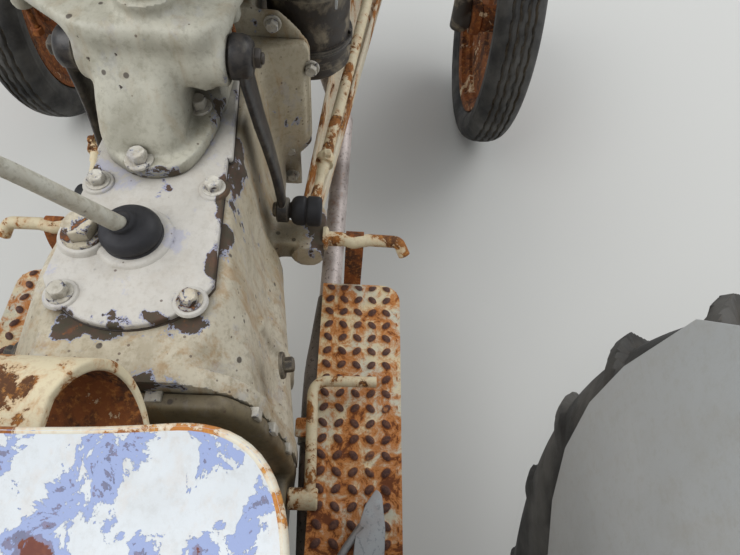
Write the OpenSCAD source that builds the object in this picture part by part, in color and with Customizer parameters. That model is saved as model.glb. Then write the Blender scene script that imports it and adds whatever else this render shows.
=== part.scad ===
// Vintage tractor. +X points forward, +Y to the tractor's left, +Z up, in millimetres.
// Places are measured from the ground below the rear axle, and at_frame() shifts the whole
// tractor so that the middle of its length stands over the origin.

/* [Layout] */
// Distance between the rear and the front axle line
wheelbase = 1778; // [1740:1:1860]
// Distance between the middles of the rear tyres
rear_track = 1321; // [1310:1:1420]
// Distance between the middles of the front tyres
front_track = 1236; // [1216:1:1300]
// How far the lower links reach behind the rear axle
link_reach = 800; // [760:5:860]

/* [Rear wheels] */
// Radius of a rear tyre over its lugs
rear_tyre_r = 612; // [605:1:625]
// Section width of a rear tyre
rear_tyre_w = 270; // [262:1:278]
// Radius of the rear rim's bead seat
rear_rim_r = 356; // [350:1:360]
// Height of a lug above the tread
lug_h = 26; // [18:1:30]
// Lugs on each side of a rear tyre
lug_count = 20; // [16:1:22]
// Thickness of a lug along the tread
lug_w = 44; // [34:1:50]
// Radius of a rear brake drum
drum_r = 178; // [165:1:182]

/* [Front wheels] */
// Radius of a front tyre
front_tyre_r = 345; // [338:1:352]
// Section width of a front tyre
front_tyre_w = 116; // [110:1:124]
// Radius of the front rim's bead seat
front_rim_r = 241; // [236:1:244]
// Radius of the stub axle
stub_r = 18; // [15:0.5:20]

/* [Steering] */
// Distance of a king pin from the middle of the tractor
kingpin_y = 525; // [515:1:535]
// Radius of a king pin
kingpin_r = 17.5; // [15:0.5:20]
// Length of a steering arm from king pin to ball
steer_arm = 232; // [220:1:240]
// Height of the drop arms' shafts
drop_shaft_z = 865; // [855:1:870]
// Place of the drop arms' shafts ahead of the rear axle
drop_shaft_x = 850; // [845:1:856]
// Length of a drop arm from shaft to ball
drop_arm = 280; // [274:1:286]
// Radius of the steering wheel to the middle of its rim
wheel_rim_r = 208; // [190:1:215]
// Lean of the steering column from upright, in degrees
column_tilt = 20; // [16:1:24]
// Length of the steering column above its base
column_l = 306; // [296:1:320]

/* [Housings] */
// Width of the flat top of the gearbox
gearbox_top_w = 172; // [166:1:180]
// Height of the gearbox's top face
gearbox_top_z = 757; // [752:1:760]
// Thickness of the gearbox cover
cover_t = 12; // [8:1:16]
// Radius of the clutch housing's flange
bell_r = 186; // [178:1:190]
// Half width of the arched flange behind the gearbox
rear_flange_w = 175; // [168:1:180]

/* [Engine] */
// Height of the top of the cylinder block
block_top_z = 800; // [790:1:810]
// Length of the cylinder block
block_l = 490; // [484:1:496]
// Radius of the air cleaner
cleaner_r = 70; // [62:1:74]
// Radius of the exhaust pipe
exhaust_r = 19; // [16:0.5:22]

/* [Sheet metal] */
// Width of the bonnet
bonnet_w = 410; // [400:1:430]
// Height of the bonnet's top
bonnet_top_z = 1110; // [1100:1:1130]
// Thickness of the bonnet sheet
sheet_t = 3; // [2:0.5:4]
// Number of upright bars in the grille
grille_bars = 11; // [9:1:15]
// Gap between a rear tyre and its mudguard's top sheet
guard_gap = 50; // [43:1:66]
// Gap between a rear tyre and its mudguard's inner sheet
guard_side_gap = 45.5; // [38:0.5:60]
// Width of a footboard
board_w = 136; // [130:1:145]
// Height of the footboards
board_z = 430; // [425:1:440]

/* [Seat] */
// Width of the seat pan
seat_w = 434; // [400:2:450]
// Width of the seat spring
spring_w = 120; // [90:1:130]

/* [Hidden] */
$fn = 64;

// Gap between curved faces that seat on each other
seat_gap = 0.3;
// Radial clearance of a shaft in its bore
fit_gap = 0.05;
// End play beside a turning piece
end_play = 0.6;
// Swelling of a round bar at its bends
bend_swell = 1.2;

// Planes between the housings, ahead of the rear axle
housing_back = -165;
gearbox_back = 485;
gearbox_front = 1046;
block_front = gearbox_front + block_l;
support_front = wheelbase + 82;

// Boss on each side of the gearbox for a radius rod and a foot-rest bar
boss_at = [838, 168, 515];
boss_face = boss_at.y + 27;

// Colours
cast_cream = "#c9c5b6";
sheet_grey = "#b4b8b9";
dark_brown = "#4a3c31";
bare_steel = "#9c9b98";
rust = "#7d5034";
rubber = "#242322";

rear_y = rear_track / 2;
front_y = front_track / 2;
rear_z = rear_tyre_r;
front_z = front_tyre_r;
link_eye_r = 26;
mid_x = (wheelbase + front_tyre_r - link_reach - link_eye_r) / 2;

module at_frame() translate([-mid_x, 0, 0]) children();

// side is 1 on the left and -1 on the right
module on_side(side) mirror([0, side > 0 ? 0 : 1, 0]) children();

module both_sides() {
    children();
    mirror([0, 1, 0]) children();
}

// A profile drawn in Y and Z, from x0 to x1
module along_x(x0, x1)
    translate([x0, 0, 0]) rotate([90, 0, 90]) linear_extrude(height = x1 - x0) children();

// A profile drawn in X and Z, from y0 to y1
module along_y(y0, y1)
    translate([0, y1, 0]) rotate([90, 0, 0]) linear_extrude(height = y1 - y0) children();

// A round bar along X from x0 to x1 at y, z
module bar_x(r, x0, x1, y = 0, z = 0)
    translate([x0, y, z]) rotate([0, 90, 0]) cylinder(r = r, h = x1 - x0);

// A round bar along Y from y0 to y1 at x, z
module bar_y(r, y0, y1, x = 0, z = 0)
    translate([x, y0, z]) rotate([-90, 0, 0]) cylinder(r = r, h = y1 - y0);

// A round bar along Z from z0 to z1 at x, y
module bar_z(r, z0, z1, x = 0, y = 0) translate([x, y, z0]) cylinder(r = r, h = z1 - z0);

// A block between two corners
module box(a, b) translate(a) cube(b - a);

// Children drawn up +Z, turned to run from p towards q
module aim(p, q) {
    v = q - p;
    translate(p) rotate([0, acos(v.z / norm(v)), atan2(v.y, v.x)]) children();
}

module rod(p, q, r) aim(p, q) cylinder(r = r, h = norm(q - p));

// A run of round bar through a list of points, with a ball at each bend
module bent_rod(points, r) {
    for (i = [0 : len(points) - 2]) rod(points[i], points[i + 1], r);
    for (i = [1 : len(points) - 2]) translate(points[i]) sphere(r = r + bend_swell);
}

// A profile of radius and width, turned about the Y axis
module turn_y() rotate([-90, 0, 0]) rotate_extrude($fn = 96) children();

// A flat square in 2D from two corners
module area(a, b) translate(a) square(b - a);

// Rear wheels

module rear_carcass_2d() {
    flank_r = 112;
    flank_y = rear_tyre_w / 2 - flank_r;
    flank_at = rear_rim_r + flank_r + 2;
    tread_r = rear_tyre_r - lug_h;
    crown_r = 340;
    bead_y = 104;
    intersection() {
        union() {
            for (s = [-1, 1]) translate([flank_at, s * flank_y]) circle(r = flank_r);
            area([flank_at - 40, -flank_y - 60], [tread_r, flank_y + 60]);
            area([rear_rim_r + seat_gap, -bead_y], [flank_at, bead_y]);
        }
        translate([tread_r - crown_r, 0]) circle(r = crown_r);
        area([rear_rim_r + seat_gap, -rear_tyre_w / 2], [rear_tyre_r, rear_tyre_w / 2]);
    }
}

module rear_tyre() {
    lug_root = rear_rim_r + 150;
    lug_sweep = 125;
    lug_reach = rear_tyre_w / 2 + 1;
    lug_crown = 360;
    rotate([-90, 0, 0]) {
        rotate_extrude($fn = 96) rear_carcass_2d();
        intersection() {
            rotate_extrude($fn = 96) intersection() {
                translate([rear_tyre_r - lug_crown, 0]) circle(r = lug_crown);
                area([lug_root, -lug_reach], [rear_tyre_r, lug_reach]);
            }
            for (s = [-1, 1], i = [0 : lug_count - 1])
                rotate([0, 0, (i + (s > 0 ? 0 : 0.5)) * 360 / lug_count])
                    translate([lug_root, 0, 0])
                        rotate([90, 0, 90])
                            linear_extrude(height = rear_tyre_r - lug_root + 1) polygon([
                                [0, -6 * s], [-lug_w, -6 * s],
                                [lug_sweep - lug_w, (lug_reach + 5) * s],
                                [lug_sweep, (lug_reach + 5) * s]
                            ]);
        }
    }
}

rear_hub_r = 62;
rear_disc_y = -62;
rear_drum_y0 = -150;
rear_drum_y1 = -88;
half_shaft_r = 24;

// A rim's section from its half, as radius and width, on both sides of the middle
module rim_2d(outside, inside) {
    other = [for (p = outside) [p.x, -p.y]];
    inner = [for (p = inside) [p.x, -p.y]];
    polygon(concat(
        outside, [for (i = [len(other) - 1 : -1 : 0]) other[i]], inner,
        [for (i = [len(inside) - 1 : -1 : 0]) inside[i]]
    ));
}

module rear_rim_2d() rim_2d(
    [for (p = [[22, 118], [22, 111], [0, 107], [0, 82], [-24, 62]]) [rear_rim_r + p.x, p.y]],
    [for (p = [[14, 118], [-7, 112], [-7, 86], [-30, 66]]) [rear_rim_r + p.x, p.y]]
);

module rear_wheel() {
    disc_t = 8;
    lug_plates = 8;
    turn_y() {
        rear_rim_2d();
        // Dished centre, from the hub out to the rim's clamps
        polygon([
            [rear_hub_r - 4, rear_disc_y], [130, rear_disc_y], [165, rear_disc_y + 26],
            [262, rear_disc_y + 46], [rear_rim_r - 52, rear_disc_y + 46],
            [rear_rim_r - 52, rear_disc_y + 46 + disc_t], [260, rear_disc_y + 46 + disc_t],
            [160, rear_disc_y + 34], [127, rear_disc_y + disc_t],
            [rear_hub_r - 4, rear_disc_y + disc_t]
        ]);
        // Hub with its flange and cap
        polygon([
            [half_shaft_r + fit_gap, rear_drum_y0 + 20], [rear_hub_r - 8, rear_drum_y0 + 20],
            [rear_hub_r - 8, rear_disc_y - 16], [104, rear_disc_y - 16], [104, rear_disc_y + 3],
            [rear_hub_r, rear_disc_y + 3], [rear_hub_r, rear_disc_y + 44],
            [rear_hub_r - 22, rear_disc_y + 60], [0, rear_disc_y + 60], [0, rear_disc_y + 30],
            [half_shaft_r + fit_gap, rear_disc_y + 30]
        ]);
        // Brake drum, open towards the tractor
        polygon([
            [60, rear_drum_y1 - 10], [drum_r - 8, rear_drum_y1 - 10], [drum_r - 8, rear_drum_y0],
            [drum_r + 3, rear_drum_y0], [drum_r + 3, rear_drum_y0 + 8], [drum_r, rear_drum_y0 + 10],
            [drum_r, rear_drum_y1], [104, rear_drum_y1], [104, rear_disc_y - 10], [50, rear_disc_y - 10],
            [50, rear_drum_y1 - 10]
        ]);
    }
    // Clamps between the dished centre and the rim's well
    for (i = [0 : lug_plates - 1])
        rotate([0, i * 360 / lug_plates, 0])
            translate([0, rear_disc_y + 44 + disc_t, 0])
                along_y(0, 12) polygon([
                    [-34, rear_rim_r - 84], [34, rear_rim_r - 84], [26, rear_rim_r - 27],
                    [-26, rear_rim_r - 27]
                ]);
}

module at_rear_wheel(side) at_frame() on_side(side) translate([0, rear_y, rear_z]) children();

module rear_tyre_left() color(rubber) at_rear_wheel(1) rear_tyre();
module rear_tyre_right() color(rubber) at_rear_wheel(-1) rear_tyre();
module rear_wheel_left() color(sheet_grey) at_rear_wheel(1) rear_wheel();
module rear_wheel_right() color(sheet_grey) at_rear_wheel(-1) rear_wheel();

// Front wheels

module front_tyre() {
    flank_r = 47;
    flank_at = front_rim_r + flank_r + 4;
    flank_y = front_tyre_w / 2 - flank_r;
    tread_y = 43;
    groove_w = 7;
    groove_h = 9;
    // Middles of the grooves between the ribs
    grooves = [-26, -9, 9, 26];
    turn_y() difference() {
        intersection() {
            union() {
                for (s = [-1, 1]) translate([flank_at, s * flank_y]) circle(r = flank_r);
                area([flank_at, -tread_y], [front_tyre_r, tread_y]);
                area([front_rim_r + seat_gap, -36], [flank_at, 36]);
            }
            translate([front_tyre_r - 150, 0]) circle(r = 150);
            union() {
                area([front_rim_r + seat_gap, -36], [front_rim_r + 20, 36]);
                area([front_rim_r + 19, -front_tyre_w], [front_tyre_r, front_tyre_w]);
            }
        }
        for (y = grooves)
            area([front_tyre_r - groove_h, y - groove_w / 2], [front_tyre_r + 1, y + groove_w / 2]);
    }
}

hub_in = -66;
hub_out = 52;

module front_wheel() {
    disc_t = 6;
    turn_y() {
        rim_2d(
            [for (p = [[16, 44], [16, 39], [0, 37], [0, 24], [-12, 14]]) [front_rim_r + p.x, p.y]],
            [for (p = [[10, 44], [-5, 40], [-5, 27], [-17, 17]]) [front_rim_r + p.x, p.y]]
        );
        // Dished disc
        polygon([
            [34, 18], [92, 18], [110, 4], [200, -8], [front_rim_r - 14, -8],
            [front_rim_r - 14, -8 + disc_t], [200, -8 + disc_t], [112, 4 + disc_t],
            [94, 18 + disc_t], [34, 18 + disc_t]
        ]);
        // Hub turning on the stub axle, with its cap
        polygon([
            [stub_r + fit_gap, hub_in], [42, hub_in], [46, hub_in + 8], [46, hub_in + 26],
            [36, hub_in + 32], [36, 10], [84, 10], [84, 20], [36, 20], [36, hub_out - 4],
            [32, hub_out + 14], [24, hub_out + 20], [0, hub_out + 20], [0, hub_out + 14],
            [stub_r + fit_gap, hub_out]
        ]);
    }
}

module at_front_wheel(side)
    at_frame() on_side(side) translate([wheelbase, front_y, front_z]) children();

module front_tyre_left() color(rubber) at_front_wheel(1) front_tyre();
module front_tyre_right() color(rubber) at_front_wheel(-1) front_tyre();
module front_wheel_left() color(rust) at_front_wheel(1) front_wheel();
module front_wheel_right() color(rust) at_front_wheel(-1) front_wheel();

// Front axle and steering

beam_x = wheelbase + 30;
beam_z0 = 432;
beam_z1 = 502;
beam_half_w = 30;
beam_end_y = 300;
boss_r = 31;
boss_z0 = 446;
boss_z1 = 556;
pivot_r = 20;
pivot_z = 467;
arm_z0 = boss_z1 + 4;
arm_t = 20;

module front_axle_half() {
    // Swept-back outer beam and the boss around the king pin
    difference() {
        union() {
            p = [beam_x, beam_end_y - 70, (beam_z0 + beam_z1) / 2 + 8];
            q = [wheelbase, kingpin_y, (boss_z0 + boss_z1) / 2];
            aim(p, q) translate([-32, -22, 0]) cube([64, 44, norm(q - p)]);
            bar_z(boss_r, boss_z0, boss_z1, wheelbase, kingpin_y);
        }
        bar_z(kingpin_r + fit_gap, boss_z0 - 1, boss_z1 + 1, wheelbase, kingpin_y);
    }
}

module front_axle() color(dark_brown) at_frame() difference() {
    union() {
        both_sides() front_axle_half();
        difference() {
            box([beam_x - beam_half_w, -beam_end_y, beam_z0], [beam_x + beam_half_w, beam_end_y, beam_z1]);
            for (s = [-1, 1], x = [beam_x - beam_half_w, beam_x + beam_half_w])
                translate([x, s * 165, (beam_z0 + beam_z1) / 2]) cube([30, 200, 46], center = true);
        }
    }
    bar_x(pivot_r + fit_gap, beam_x - 50, beam_x + 50, 0, pivot_z);
}

rod_back = [915, 168];
rod_front = [beam_x - beam_half_w - 1.4, 262];
rod_front_z = pivot_z;
rod_h = 38;
rod_slope = atan2(boss_at.z - rod_front_z, rod_front.x - rod_back.x);

// Plan of a radius rod measured from its front end, drawn in by inset
module rod_plan(inset) {
    half_back = 17 - inset;
    half_front = 48 - inset;
    reach = rod_front.x - rod_back.x - inset;
    spread = rod_front.y - rod_back.y;
    polygon([
        [-reach, -spread - half_back], [-inset - 20, -half_front], [-inset, -half_front],
        [-inset, half_front], [-inset - 20, half_front], [-reach, -spread + half_back]
    ]);
}

module radius_rods() color(cast_cream) at_frame() both_sides() {
    translate([rod_front.x, rod_front.y, rod_front_z]) rotate([0, rod_slope, 0]) difference() {
        translate([0, 0, -rod_h / 2]) linear_extrude(height = rod_h) rod_plan(0);
        for (z = [-rod_h / 2 - 1, rod_h / 2 - 11])
            translate([0, 0, z]) linear_extrude(height = 12) rod_plan(9);
    }
    // Ball end held in the boss on the gearbox
    bar_x(17, rod_back.x - 48, rod_back.x + 14, boss_at.y, boss_at.z);
}

arm_ball_x = wheelbase - 60;
arm_ball_y = kingpin_y - steer_arm;

module knuckle() {
    yoke_top = boss_z0 - end_play;
    bar_z(kingpin_r, yoke_top - 20, arm_z0 + arm_t + 4, wheelbase, kingpin_y);
    bar_z(boss_r - 5, front_z - 34, yoke_top, wheelbase, kingpin_y);
    // Stub axle
    bar_y(30, kingpin_y, front_y + hub_in - end_play, wheelbase, front_z);
    bar_y(stub_r, kingpin_y, front_y + hub_out - end_play, wheelbase, front_z);
    // Steering arm
    bar_z(29, arm_z0, arm_z0 + arm_t, wheelbase, kingpin_y);
    translate([0, 0, arm_z0]) linear_extrude(height = arm_t) polygon([
        [wheelbase - 24, kingpin_y - 12], [wheelbase + 14, kingpin_y - 24],
        [wheelbase - 6, kingpin_y - 90], [arm_ball_x + 17, arm_ball_y + 6],
        [arm_ball_x - 14, arm_ball_y + 10], [wheelbase - 46, kingpin_y - 80]
    ]);
    bar_z(19, arm_z0, arm_z0 + arm_t, arm_ball_x, arm_ball_y);
}

module knuckle_left() color(dark_brown) at_frame() on_side(1) knuckle();
module knuckle_right() color(dark_brown) at_frame() on_side(-1) knuckle();

// Place of a drop arm's ball, and of the drag link's two ends
drop_top_y = 100;
drop_ball = [drop_shaft_x, 150, drop_shaft_z - drop_arm];
drop_t = 13;
sector_r = 16;
box_side_y = 84;
link_pin_z = arm_z0 + arm_t + 28;

// Stations down a drop arm: depth below its shaft, forward offset, half width and side offset
arm_stations = [
    [0, 0, 25, 0], [50, 5, 24, 2], [100, 9, 22, 7], [150, 11, 19, 14], [200, 9, 16, 21],
    [245, 4, 14, 26], [drop_arm, 0, 13, 29]
];

module drop_arm() {
    foot = drop_top_y + 29;
    bar_y(27, box_side_y + end_play, drop_top_y + 14, drop_shaft_x, drop_shaft_z);
    bar_y(sector_r, box_side_y - 30, drop_top_y + 22, drop_shaft_x, drop_shaft_z);
    // Curved blade where its side view and its front view meet
    intersection() {
        along_y(drop_top_y - drop_t, foot + drop_t) polygon(concat(
            [for (p = arm_stations) [drop_shaft_x + p[1] + p[2], drop_shaft_z - p[0]]],
            [for (i = [len(arm_stations) - 1 : -1 : 0]) let (p = arm_stations[i])
                [drop_shaft_x + p[1] - p[2], drop_shaft_z - p[0]]]
        ));
        along_x(drop_shaft_x - 60, drop_shaft_x + 60) polygon(concat(
            [for (p = arm_stations) [drop_top_y + p[3] + drop_t / 2, drop_shaft_z - p[0]]],
            [for (i = [len(arm_stations) - 1 : -1 : 0]) let (p = arm_stations[i])
                [drop_top_y + p[3] - drop_t / 2, drop_shaft_z - p[0]]]
        ));
    }
    bar_y(20, foot - 8, foot + 8, drop_ball.x, drop_ball.z);
    // Ball stud
    bar_y(8, foot, drop_ball.y, drop_ball.x, drop_ball.z);
}

module drop_arm_left() color(dark_brown) at_frame() on_side(1) drop_arm();
module drop_arm_right() color(dark_brown) at_frame() on_side(-1) drop_arm();

joint_y0 = drop_ball.y - 7;
joint_y1 = drop_ball.y + 40;
joint_r = 23;

module drag_link() {
    back = [drop_ball.x, drop_ball.y + 24, drop_ball.z];
    front = [arm_ball_x, arm_ball_y, link_pin_z];
    v = (front - back) / norm(front - back);
    difference() {
        union() {
            rod(back, front, 11);
            // Rubber-booted joint on the drop arm's ball stud
            bar_y(joint_r, joint_y0, joint_y1, drop_ball.x, drop_ball.z);
            rod(back, back + v * 90, 13);
            rod(front - v * 70, front + v * 18, 15);
        }
        bar_y(8 + fit_gap, drop_ball.y - 40, drop_ball.y + end_play, drop_ball.x, drop_ball.z);
    }
    bar_z(9, arm_z0 + arm_t + end_play, link_pin_z, arm_ball_x, arm_ball_y);
}

module drag_link_left() color(dark_brown) at_frame() on_side(1) drag_link();
module drag_link_right() color(dark_brown) at_frame() on_side(-1) drag_link();

column_base = [868, 0, 930];
column_dir = [-sin(column_tilt), 0, cos(column_tilt)];
box_top_z = 900;

// Side view of the hump over the worm, and plan of the foot, drawn on the tractor's left
box_foot_z = gearbox_top_z + cover_t;
hump_side = [
    [757, box_foot_z], [766, 802], [788, 842], [822, 876], [868, box_top_z], [944, box_top_z],
    [944, box_foot_z]
];
foot_plan = [
    [735, 12], [746, -30], [772, -46], [822, -60], [944, -66], [944, 66], [800, 70], [752, 48]
];

module steering_box() color(cast_cream) at_frame() difference() {
    union() {
        // The hump leans to the left, beside the foot's bolts
        along_y(-31, 65) polygon(hump_side);
        box([822, -58, box_foot_z], [944, 58, box_top_z + 1]);
        translate([0, 0, box_foot_z]) linear_extrude(height = 18) polygon(foot_plan);
        bar_y(34, -box_side_y, box_side_y, drop_shaft_x, drop_shaft_z);
        // Head that carries the dash, drawn in at the back, on a flared neck
        translate([0, 0, box_top_z]) linear_extrude(height = 14) polygon([
            [818, -64], [850, -112], [900, -176], [944, -192], [944, 192], [900, 176], [850, 112],
            [818, 64]
        ]);
        along_x(886, 944) polygon([
            [-64, 820], [64, 820], [84, 872], [130, box_top_z + 1], [-130, box_top_z + 1], [-84, 872]
        ]);
        // Column tube
        rod(column_base - 60 * column_dir, column_base + column_l * column_dir, 21);
        rod(column_base - 60 * column_dir, column_base + 12 * column_dir, 34);
    }
    for (s = [-1, 1])
        bar_y(sector_r + fit_gap, s > 0 ? box_side_y - 32 : -box_side_y - 1, s > 0 ? box_side_y + 1 : 32 - box_side_y,
            drop_shaft_x, drop_shaft_z);
    rod(column_base - 20 * column_dir, column_base + (column_l + 1) * column_dir, 11 + fit_gap);
}

wheel_hub_at = column_base + (column_l + end_play) * column_dir;

module steering_wheel() color(rubber) at_frame() {
    rod(column_base - 18 * column_dir, wheel_hub_at + 10 * column_dir, 11);
    rod(wheel_hub_at, wheel_hub_at + 34 * column_dir, 32);
    translate(wheel_hub_at + 30 * column_dir)
        rotate([0, atan2(column_dir.x, column_dir.z), 0]) {
            rotate_extrude($fn = 72) translate([wheel_rim_r, 0]) circle(r = 12);
            for (a = [60, 180, 300])
                rotate([0, 0, a]) rod([28, 0, -14], [wheel_rim_r, 0, 0], 7);
        }
}

// Gearbox and clutch housing

bell_z = 650;
shoulder_at = [gearbox_back + 20, 70, gearbox_top_z];
shoulder_way = [-0.2235, 0.7077, 0.6705];
waist_x0 = 790;
side_slope = 9;

flange_t = 20;

// Arched flange between the gearbox and the centre housing
module arch_outline() {
    half = [
        [66, gearbox_top_z - 1], [96, gearbox_top_z - 9], [118, 731], [136, 706], [148, 676],
        [156, 634], [rear_flange_w - 9, 579], [rear_flange_w - 2, 520], [rear_flange_w, 450],
        [rear_flange_w - 7, 362]
    ];
    polygon(concat(
        [for (p = half) [p.x, p.y]], [for (i = [len(half) - 1 : -1 : 0]) [-half[i].x, half[i].y]]
    ));
}

// Half width of the bell flange between the drag links
bell_side = 160;

// Flange between the clutch housing and the engine, flat on both sides to clear the drag links
module bell_outline() {
    intersection() {
        translate([0, bell_z]) circle(r = bell_r);
        area([-bell_side, bell_z - bell_r], [bell_side, bell_z + bell_r]);
    }
    area([-138, 440], [138, bell_z - 80]);
}

// The gearbox casting on one side only, its wall running in towards the front
module gearbox_side() translate([700, 0, 0]) rotate([0, 0, -side_slope]) along_x(-260, 160) polygon([
    [-300, 340], [-300, gearbox_top_z], [84, gearbox_top_z], [98, 705], [110, 640], [118, 580],
    [136, 540], [142, 500], [138, 430], [118, 380], [104, 340]
]);

module gearbox_housing() color(cast_cream) at_frame() difference() {
    union() {
        intersection() {
            union() {
                difference() {
                    intersection() {
                        gearbox_side();
                        mirror([0, 1, 0]) gearbox_side();
                        box([gearbox_back, -300, 340], [waist_x0 + 8, 300, gearbox_top_z]);
                    }
                    // Shoulders that fall away towards the back
                    both_sides() aim(shoulder_at, shoulder_at + shoulder_way)
                        translate([-140, -140, 0]) cube([280, 280, 120]);
                }
                // Arched flange at the back
                along_x(gearbox_back, gearbox_back + flange_t) arch_outline();
                // Waist below the steering box
                along_x(waist_x0, 1012) polygon([
                    [-gearbox_top_w / 2, gearbox_top_z], [gearbox_top_w / 2, gearbox_top_z],
                    [92, 690], [98, 600], [108, 540], [112, 480], [104, 400], [90, 340],
                    [-90, 340], [-104, 400], [-112, 480], [-108, 540], [-98, 600], [-92, 690]
                ]);
                // Clutch housing
                intersection() {
                    translate([1006, 0, bell_z]) rotate([0, 90, 0]) cylinder(r1 = 116, r2 = bell_r + 8, h = 30);
                    along_x(1006, gearbox_front - 12) bell_outline();
                }
                along_x(gearbox_front - 14, gearbox_front) bell_outline();
            }
            box([gearbox_back, -230, 362], [gearbox_front, 230, gearbox_top_z + 40]);
        }
        // Bosses that hold the radius rods and the foot-rest bars
        for (s = [-1, 1]) {
            bar_x(27, 808, rod_back.x - 10, s * boss_at.y, boss_at.z);
            box([816, s > 0 ? 90 : -boss_face, boss_at.z - 16], [866, s > 0 ? boss_face : -90, boss_at.z + 27]);
        }
    }
    for (s = [-1, 1])
        bar_x(17 + fit_gap, rod_back.x - 48 - end_play, rod_back.x + 1, s * boss_at.y, boss_at.z);
}

cover_x0 = 540;
cover_x1 = 944;
boot_x = 655;
filler_at = [650, 60];
cover_bolts = [[728, 64], [728, -64], [574, 58], [574, -58]];

module gearbox_cover() color(cast_cream) at_frame() {
    translate([0, 0, gearbox_top_z]) linear_extrude(height = cover_t) union() {
        // Runs on under the steering box
        polygon([[cover_x0 + 62, -82], [cover_x1, -68], [cover_x1, 68], [cover_x0 + 62, 82]]);
        intersection() {
            translate([cover_x0 + 86, 0]) circle(r = 86);
            area([cover_x0, -82], [cover_x0 + 66, 82]);
        }
    }
    translate([0, 0, gearbox_top_z]) {
        // Pads under the bolts, and the seat of the lever's boot
        for (p = cover_bolts) bar_z(17, cover_t - 1, cover_t + 3, p.x, p.y);
        difference() {
            bar_z(42, cover_t - 1, cover_t + 4, boot_x, -4);
            bar_z(34.5, cover_t, cover_t + 5, boot_x, -4);
        }
        // Filler plug on its boss
        bar_z(28, cover_t - 1, cover_t + 6, filler_at.x, filler_at.y);
        translate([filler_at.x, filler_at.y, cover_t]) cylinder(r = 18, h = 24, $fn = 6);
    }
}

lever_top = [575, 52, 975];

module gear_boot() color(rubber) at_frame() difference() {
    translate([boot_x, -4, gearbox_top_z + cover_t]) rotate_extrude() polygon([
        [0, 0], [33, 0], [33, 5], [27, 9], [24, 22], [16, 32], [12, 40], [0, 40]
    ]);
    rod([boot_x, -4, gearbox_top_z + cover_t + 14], lever_top, 8 + seat_gap);
}

module gear_lever() color(sheet_grey) at_frame() {
    foot = [boot_x, -4, gearbox_top_z + cover_t + 14];
    l = norm(lever_top - foot);
    aim(foot, lever_top) rotate_extrude() polygon([
        [0, 1], [8, 1], [8, l - 17], [15, l - 11], [18, l], [16, l + 9], [10, l + 15], [0, l + 17]
    ]);
}

// Centre housing and rear end

centre_w = 165;
housing_top = 735;
neck_x0 = 330;

module centre_housing() color(cast_cream) at_frame() {
    intersection() {
        union() {
            along_x(housing_back, neck_x0 + 6) intersection() {
                union() {
                    translate([0, 560]) circle(r = 190);
                    area([-centre_w, 400], [centre_w, 640]);
                }
                area([-centre_w, 362], [centre_w, 720]);
            }
            // Neck, narrower above its foot
            along_x(neck_x0, gearbox_back) {
                translate([0, 534]) circle(r = 150);
                area([-centre_w, 362], [centre_w, 484]);
            }
            along_x(gearbox_back - flange_t, gearbox_back) arch_outline();
            box([housing_back, -130, 660], [neck_x0, 130, housing_top]);
            bar_y(150, -centre_w - 14, centre_w + 14, 0, rear_z);
        }
        // Flat foot and flat top
        box([housing_back, -250, 362], [gearbox_back, 250, housing_top]);
    }
    // Power take-off boss with its cap
    bar_x(62, housing_back - 28, housing_back, 0, 520);
    bar_x(38, housing_back - 92, housing_back - 28, 0, 520);
    // Lugs and pins for the lower links
    both_sides() {
        bar_y(26, centre_w, link_pivot_y - 14 - end_play, link_pivot_x, link_pivot_z);
        bar_y(link_pin_r, centre_w, link_pivot_y + 20, link_pivot_x, link_pivot_z);
    }
}

link_pivot_x = -40;
link_pivot_z = 430;
link_pivot_y = 196;
link_pin_r = 11;
trumpet_end = rear_y + rear_drum_y0 - end_play;
pad_h = 76;

module axle_housings() color(cast_cream) at_frame() both_sides() {
    flange_y = centre_w + 14;
    translate([0, 0, rear_z]) {
        turn_y() difference() {
            polygon([
                [0, flange_y], [150, flange_y], [150, flange_y + 16], [118, flange_y + 18],
                [74, flange_y + 110], [62, trumpet_end - 70], [70, trumpet_end - 12],
                [drum_r, trumpet_end - 10], [drum_r, trumpet_end], [0, trumpet_end]
            ]);
            area([-1, trumpet_end - 40], [half_shaft_r + fit_gap, trumpet_end + 1]);
        }
        // Pad for the mudguard's bracket
        box([-50, guard_y0 - 34, 30], [50, guard_y0 - 2, pad_h]);
        // Half shaft out to the hub
        bar_y(half_shaft_r, trumpet_end - 38, rear_y + rear_disc_y + 28);
    }
}

cover_top_z = 790;

module lift_cover() color(cast_cream) at_frame() difference() {
    union() {
        along_x(housing_back, neck_x0) polygon([
            [-128, housing_top], [128, housing_top], [128, 757], [100, cover_top_z],
            [-100, cover_top_z], [-128, 757]
        ]);
        // Bosses of the cross shaft
        bar_y(lift_shaft_z - housing_top, -176, 176, lift_shaft_x, lift_shaft_z);
        // Rocker for the top link
        for (s = [-1, 1])
            along_y(s > 0 ? 20 : -34, s > 0 ? 34 : -20) polygon([
                [housing_back, 736], [housing_back, 788], [housing_back - 52, 748],
                [housing_back - 60, 700], [housing_back - 30, 690]
            ]);
    }
    bar_y(lift_shaft_r + fit_gap, -180, 180, lift_shaft_x, lift_shaft_z);
    bar_y(top_pin_r, -60, 60, housing_back - 40, 716);
}

top_pin_r = 9.7;
lift_shaft_x = -115;
lift_shaft_z = 770;
lift_shaft_r = 22;
lift_arm_y = 196;
lift_arm_l = 250;
lift_end = [lift_shaft_x - lift_arm_l, lift_arm_y, lift_shaft_z - 26];

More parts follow.
